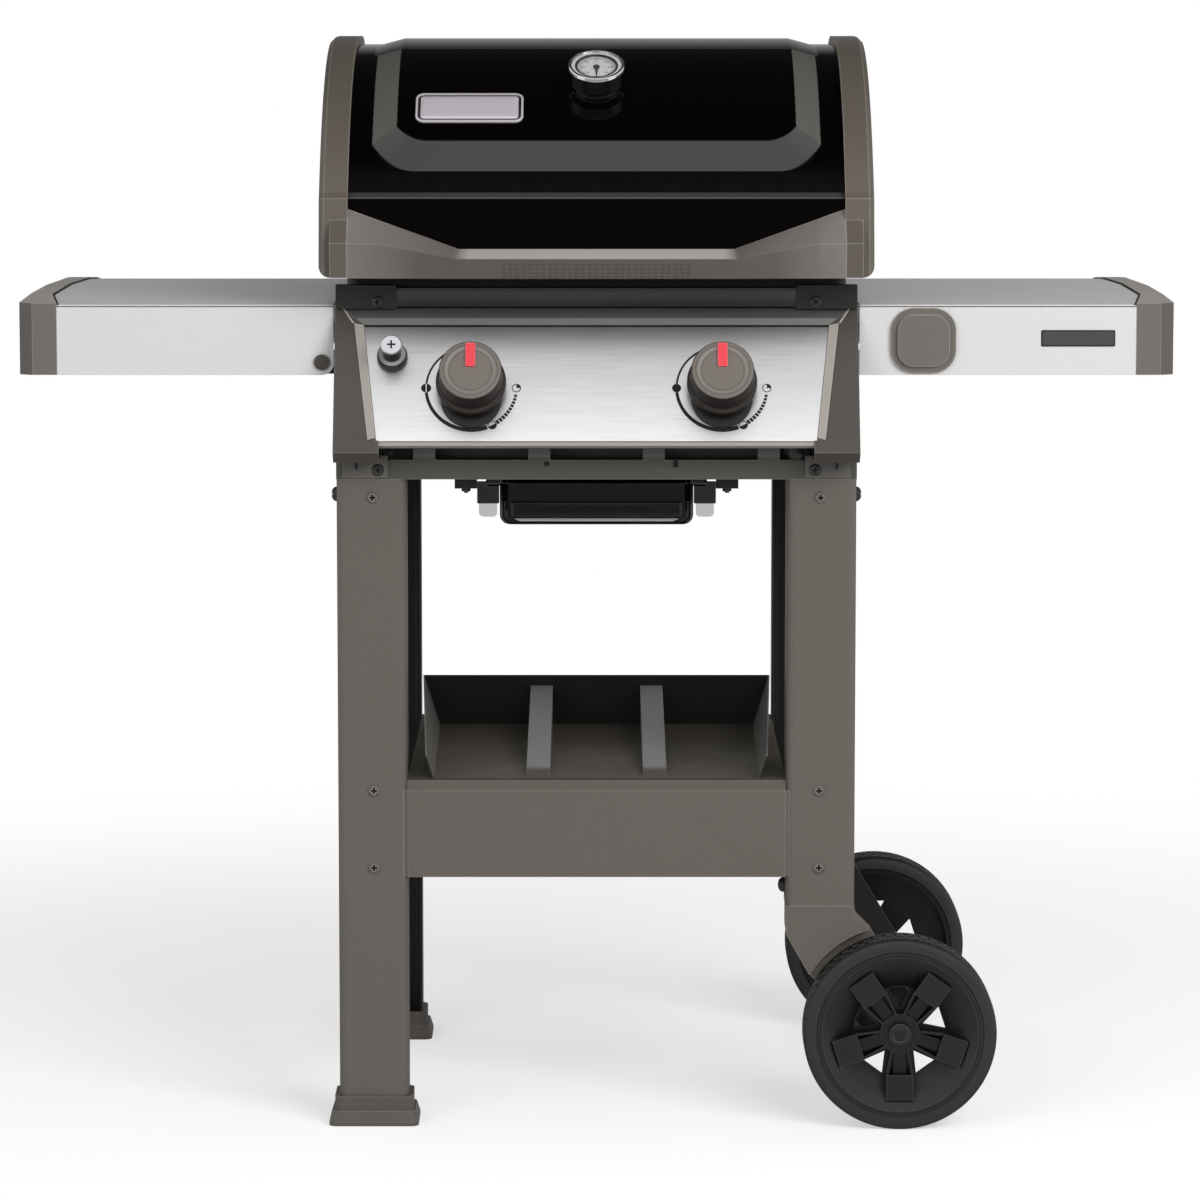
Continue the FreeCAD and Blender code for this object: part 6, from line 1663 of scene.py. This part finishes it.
class GRILL_OT_drip_tray(bpy.types.Operator):
    """Build the pressed drip tray with its round lower edges, beads and tabs; its bright bead is
    a painted highlight
    """

    bl_idname = "grill.drip_tray"
    bl_label = "Drip tray"

    def execute(self, context):
        low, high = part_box("drip_tray")
        pan_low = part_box("catch_pan")[0]
        wall, bend, corner = 1.4 * MM, 10 * MM, 14 * MM
        front = pan_low.y - 4.5 * MM
        rear = high.y - 10 * MM
        half_u = 102 * MM
        half_v = (rear - front) / 2
        middle = (front + rear) / 2

        def ring(inset, height):
            return [
                Vector((u, middle + v, height))
                for u, v in rounded(half_u - inset, half_v - inset, max(corner - inset, 2 * MM), 8)
            ]

        def bowl(start, radius, floor):
            """Rings round a bend, from its foot up to where the wall stands upright."""
            turns = [math.radians(90) * at / 6 for at in range(7)]
            return [
                ring(start + radius * (1 - math.sin(t)), floor + radius * (1 - math.cos(t)))
                for t in turns
            ]

        def tray(shape):
            rings = bowl(0, bend, low.z)
            rings += [ring(0, high.z - 1.4 * MM), ring(0, high.z), ring(wall, high.z)]
            join_rings(shape, rings + bowl(wall, bend - wall, low.z + wall)[::-1])

        def lips(shape):
            for side in (-1, 1):
                outer, inner = side * high.x, side * (half_u - 0.8 * MM)
                under = high.z - 1.5 * MM
                section = ((outer, high.z), (outer, under), (inner, under), (inner, high.z))
                ends = (front + 6 * MM, rear - 6 * MM)
                join_rings(shape, [[Vector((x, y, z)) for x, z in section] for y in ends])

        def pull(shape):
            """The folded finger pull across the tray's front."""
            outside = ((0.5, 25), (-7, 25), (-9.2, 24.2), (-10, 22), (-10, 12.5), (-8.8, 9.8))
            inside = ((-8.2, 11.2), (-8.6, 13), (-8.6, 21.6), (-8, 23.2), (-6.6, 23.6), (0.5, 23.6))
            section = (*outside, (-6.5, 8.6), (-6.5, 10), *inside)
            rings = []
            for x, keep in ((-90, 0.7), (-86, 1), (86, 1), (90, 0.7)):
                line = in_mm(*((x, min(y * keep, 0.5), z) for y, z in section))
                rings.append([Vector(point) + Vector((0, front, low.z)) for point in line])
            join_rings(shape, rings)

        # a bright strip across the front: a painted highlight
        def bead(shape):
            face = facing((0, front, low.z), -BACK)
            line = in_mm((-86, 7), (-80, 6), (80, 6), (86, 7))
            widths = [0.6 * MM, 3.2 * MM, 3.2 * MM, 0.6 * MM]
            ribbon(shape, line, widths, -2.5 * MM, 0.35 * MM, face)

        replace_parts(piece("pressed_tray", tray, tray_enamel, "drip_tray"), "drip_tray")
        piece("tray_lips", lips, tray_enamel, "drip_tray")
        piece("tray_pull", pull, tray_enamel, "drip_tray")
        piece("tray_bead", bead, rubbed_steel, "drip_tray")

        clip_low, clip_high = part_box("tray_clips")
        width = 19 * MM

        def tabs(shape):
            place = facing((0, clip_high.y, 0), -BACK)
            for side in (-1, 1):
                middle_u = side * (clip_high.x - width / 2)
                edge = width / 2
                outline = [(middle_u + edge, clip_high.z), (middle_u - edge, clip_high.z)]
                left = (middle_u - edge + 4.5 * MM, clip_low.z + 4.5 * MM)
                right = (middle_u + edge - 4.5 * MM, clip_low.z + 4.5 * MM)
                outline += arc(4.5 * MM, 180, 270, 6, left) + arc(4.5 * MM, 270, 360, 6, right)
                slab(shape, outline, 0.0, clip_high.y - clip_low.y, place, 0.5 * MM)

        grips = piece("tray_tabs", tabs, tab_acetal, "cart")
        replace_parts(grips, "tray_clips")
        return {"FINISHED"}


CAMERA_LENS = 157.1
CAMERA_PLACE = (0.0, -5.69307, 1.21918)
CAMERA_TILT = 6.86
CAMERA_SHIFT = 0.0029167

# the studio as shiny faces see it, by direction, and as dull ones do
AMBIENT = 0.34
SHINE_BOX = 1.1
SHINE_AHEAD = 0.3
SHINE_BEHIND = 0.4
SHINE_BESIDE = 0.9
SHINE_FLOOR = 0.05
GROUND_WHITE = 0.5

# name, watts, width, height, place and target
LAMPS = (
    ("key_lamp", 88.0, 2.4, 1.6, (1.9, -3.1, 2.15), (0.0, 0.0, 0.7)),
    ("fill_lamp", 30.0, 2.4, 1.6, (-1.7, -3.2, 1.7), (0.0, 0.0, 0.6)),
)


class GRILL_OT_stage(bpy.types.Operator):
    """Set the floor, the lamps, the backdrop and the camera"""

    bl_idname = "grill.stage"
    bl_label = "Stage"

    def execute(self, context):
        self.lay_ground(context)
        self.hang_backdrop(context)
        self.light(context)
        self.aim_camera(context)
        return {"FINISHED"}

    def lay_ground(self, context):
        """A pale disc that fades out, plus enough of the backdrop's white for the eye."""
        shape = bmesh.new()
        bmesh.ops.create_circle(shape, cap_ends=True, segments=96, radius=5.0)
        mesh = bpy.data.meshes.new("ground")
        shape.to_mesh(mesh)
        shape.free()
        ground = stand("ground", mesh)
        material = bpy.data.materials.new("pale_ground")
        material.use_nodes = True
        tree = material.node_tree
        tree.nodes.clear()
        place = add(tree, "ShaderNodeTexCoord")
        away = add(tree, "ShaderNodeVectorMath", feeds={0: place.outputs["Object"]}, operation="LENGTH")
        fade = add(
            tree,
            "ShaderNodeMapRange",
            {"From Min": 0.8, "From Max": 2.2},
            {"Value": away.outputs["Value"]},
            interpolation_type="SMOOTHSTEP",
        )
        paint = add(
            tree, "ShaderNodeBsdfDiffuse", {"Color": (*context.scene.grill_colours.ground, 1.0)}
        )
        rays = add(tree, "ShaderNodeLightPath")
        share = add(
            tree,
            "ShaderNodeMath",
            {1: GROUND_WHITE},
            {0: rays.outputs["Is Camera Ray"]},
            operation="MULTIPLY",
        )
        white = add(tree, "ShaderNodeEmission", feeds={"Strength": share})
        both = add(tree, "ShaderNodeAddShader", feeds={0: paint, 1: white})
        clear = add(tree, "ShaderNodeBsdfTransparent")
        mixed = add(tree, "ShaderNodeMixShader", feeds={0: fade, 1: both, 2: clear})
        add(tree, "ShaderNodeOutputMaterial", feeds={"Surface": mixed})
        mesh.materials.append(material)

    def hang_backdrop(self, context):
        """White behind the grill for the eye, for glass and for shine; a dim studio elsewhere."""
        world = bpy.data.worlds.new("studio")
        context.scene.world = world
        world.use_nodes = True
        tree = world.node_tree
        tree.nodes.clear()
        rays = add(tree, "ShaderNodeLightPath")
        direction = add(tree, "ShaderNodeTexCoord")
        axes = add(tree, "ShaderNodeSeparateXYZ", feeds={0: direction.outputs["Generated"]})
        lobes = []
        for axis, start, full, least, most in (
            ("Y", 0.86, 0.97, 0.0, SHINE_BEHIND),
            ("X", 0.55, 0.8, 0.0, SHINE_BESIDE),
            ("Z", 0.3, 0.6, SHINE_AHEAD, SHINE_BOX),
            ("Y", -0.15, -0.45, 0.0, 1.0),
        ):
            value = axes.outputs[axis]
            if axis == "X":
                value = add(tree, "ShaderNodeMath", feeds={0: value}, operation="ABSOLUTE")
            ends = {"From Min": start, "From Max": full, "To Min": least, "To Max": most}
            smooth = {"interpolation_type": "SMOOTHSTEP"}
            lobes.append(add(tree, "ShaderNodeMapRange", ends, {"Value": value}, **smooth))
        behind, beside, box, ahead = lobes
        front = {0: box, 1: ahead}
        front_box = add(tree, "ShaderNodeMath", {2: SHINE_FLOOR}, front, operation="MULTIPLY_ADD")
        around = add(tree, "ShaderNodeMath", feeds={0: behind, 1: beside}, operation="MAXIMUM")
        shine = add(tree, "ShaderNodeMath", feeds={0: around, 1: front_box}, operation="MAXIMUM")
        glossy = add(tree, "ShaderNodeMix", {2: AMBIENT}, {0: rays.outputs["Is Glossy Ray"], 3: shine})
        seen = add(
            tree,
            "ShaderNodeMath",
            feeds={0: rays.outputs["Is Camera Ray"], 1: rays.outputs["Is Transmission Ray"]},
            operation="MAXIMUM",
        )
        strength = add(tree, "ShaderNodeMix", {3: 1.0}, {0: seen, 2: glossy})
        sky = add(tree, "ShaderNodeBackground", {"Color": (1, 1, 1, 1)}, {"Strength": strength})
        add(tree, "ShaderNodeOutputWorld", feeds={"Surface": sky})

    def light(self, context):
        """Broad lamps in front, the stronger on the right, kept out of the enamel's shine."""
        for name, energy, wide, tall, where, target in LAMPS:
            lamp = bpy.data.lights.new(name, "AREA")
            lamp.shape = "RECTANGLE"
            lamp.size = wide
            lamp.size_y = tall
            lamp.energy = energy
            thing = stand(name, lamp)
            thing.location = where
            aim = Vector(target) - Vector(where)
            thing.rotation_euler = aim.to_track_quat("-Z", "Y").to_euler()
            thing.visible_glossy = False

    def aim_camera(self, context):
        """A long lens a little above the lid, looking slightly down."""
        camera = bpy.data.cameras.new("camera")
        camera.lens = CAMERA_LENS
        camera.sensor_width = 36.0
        camera.shift_x = CAMERA_SHIFT
        camera.clip_end = 50.0
        thing = stand("camera", camera)
        thing.location = CAMERA_PLACE
        thing.rotation_euler = (math.radians(90 - CAMERA_TILT), 0.0, 0.0)
        context.scene.camera = thing
        context.scene.view_settings.view_transform = "Standard"


class GRILL_PT_parts(bpy.types.Panel):
    """Shows the grill's sizes, its ground colour and a button for each step"""

    bl_idname = "GRILL_PT_parts"
    bl_label = "Gas grill"
    bl_space_type = "VIEW_3D"
    bl_region_type = "UI"
    bl_category = "Grill"

    def draw(self, context):
        for group in (context.scene.grill_sizes, context.scene.grill_colours):
            for name in group.bl_rna.properties.keys():
                if name not in ("rna_type", "name"):
                    self.layout.prop(group, name)
        for operator in OPERATORS:
            self.layout.operator(operator.bl_idname)


OPERATORS = (
    GRILL_OT_finishes,
    GRILL_OT_tyres,
    GRILL_OT_knob_scales,
    GRILL_OT_panel_trim,
    GRILL_OT_plates,
    GRILL_OT_gauge,
    GRILL_OT_screws,
    GRILL_OT_slots,
    GRILL_OT_handle_grip,
    GRILL_OT_igniter_mark,
    GRILL_OT_table_seams,
    GRILL_OT_drip_tray,
    GRILL_OT_stage,
)
CLASSES = (GrillSizes, GrillColours, *OPERATORS, GRILL_PT_parts)


def register():
    for each in CLASSES:
        bpy.utils.register_class(each)
    bpy.types.Scene.grill_sizes = PointerProperty(type=GrillSizes)
    bpy.types.Scene.grill_colours = PointerProperty(type=GrillColours)


def unregister():
    del bpy.types.Scene.grill_colours
    del bpy.types.Scene.grill_sizes
    for each in reversed(CLASSES):
        bpy.utils.unregister_class(each)


def main():
    register()
    for operator in OPERATORS:
        group, name = operator.bl_idname.split(".")
        getattr(getattr(bpy.ops, group), name)()


if __name__ == "__main__":
    main()
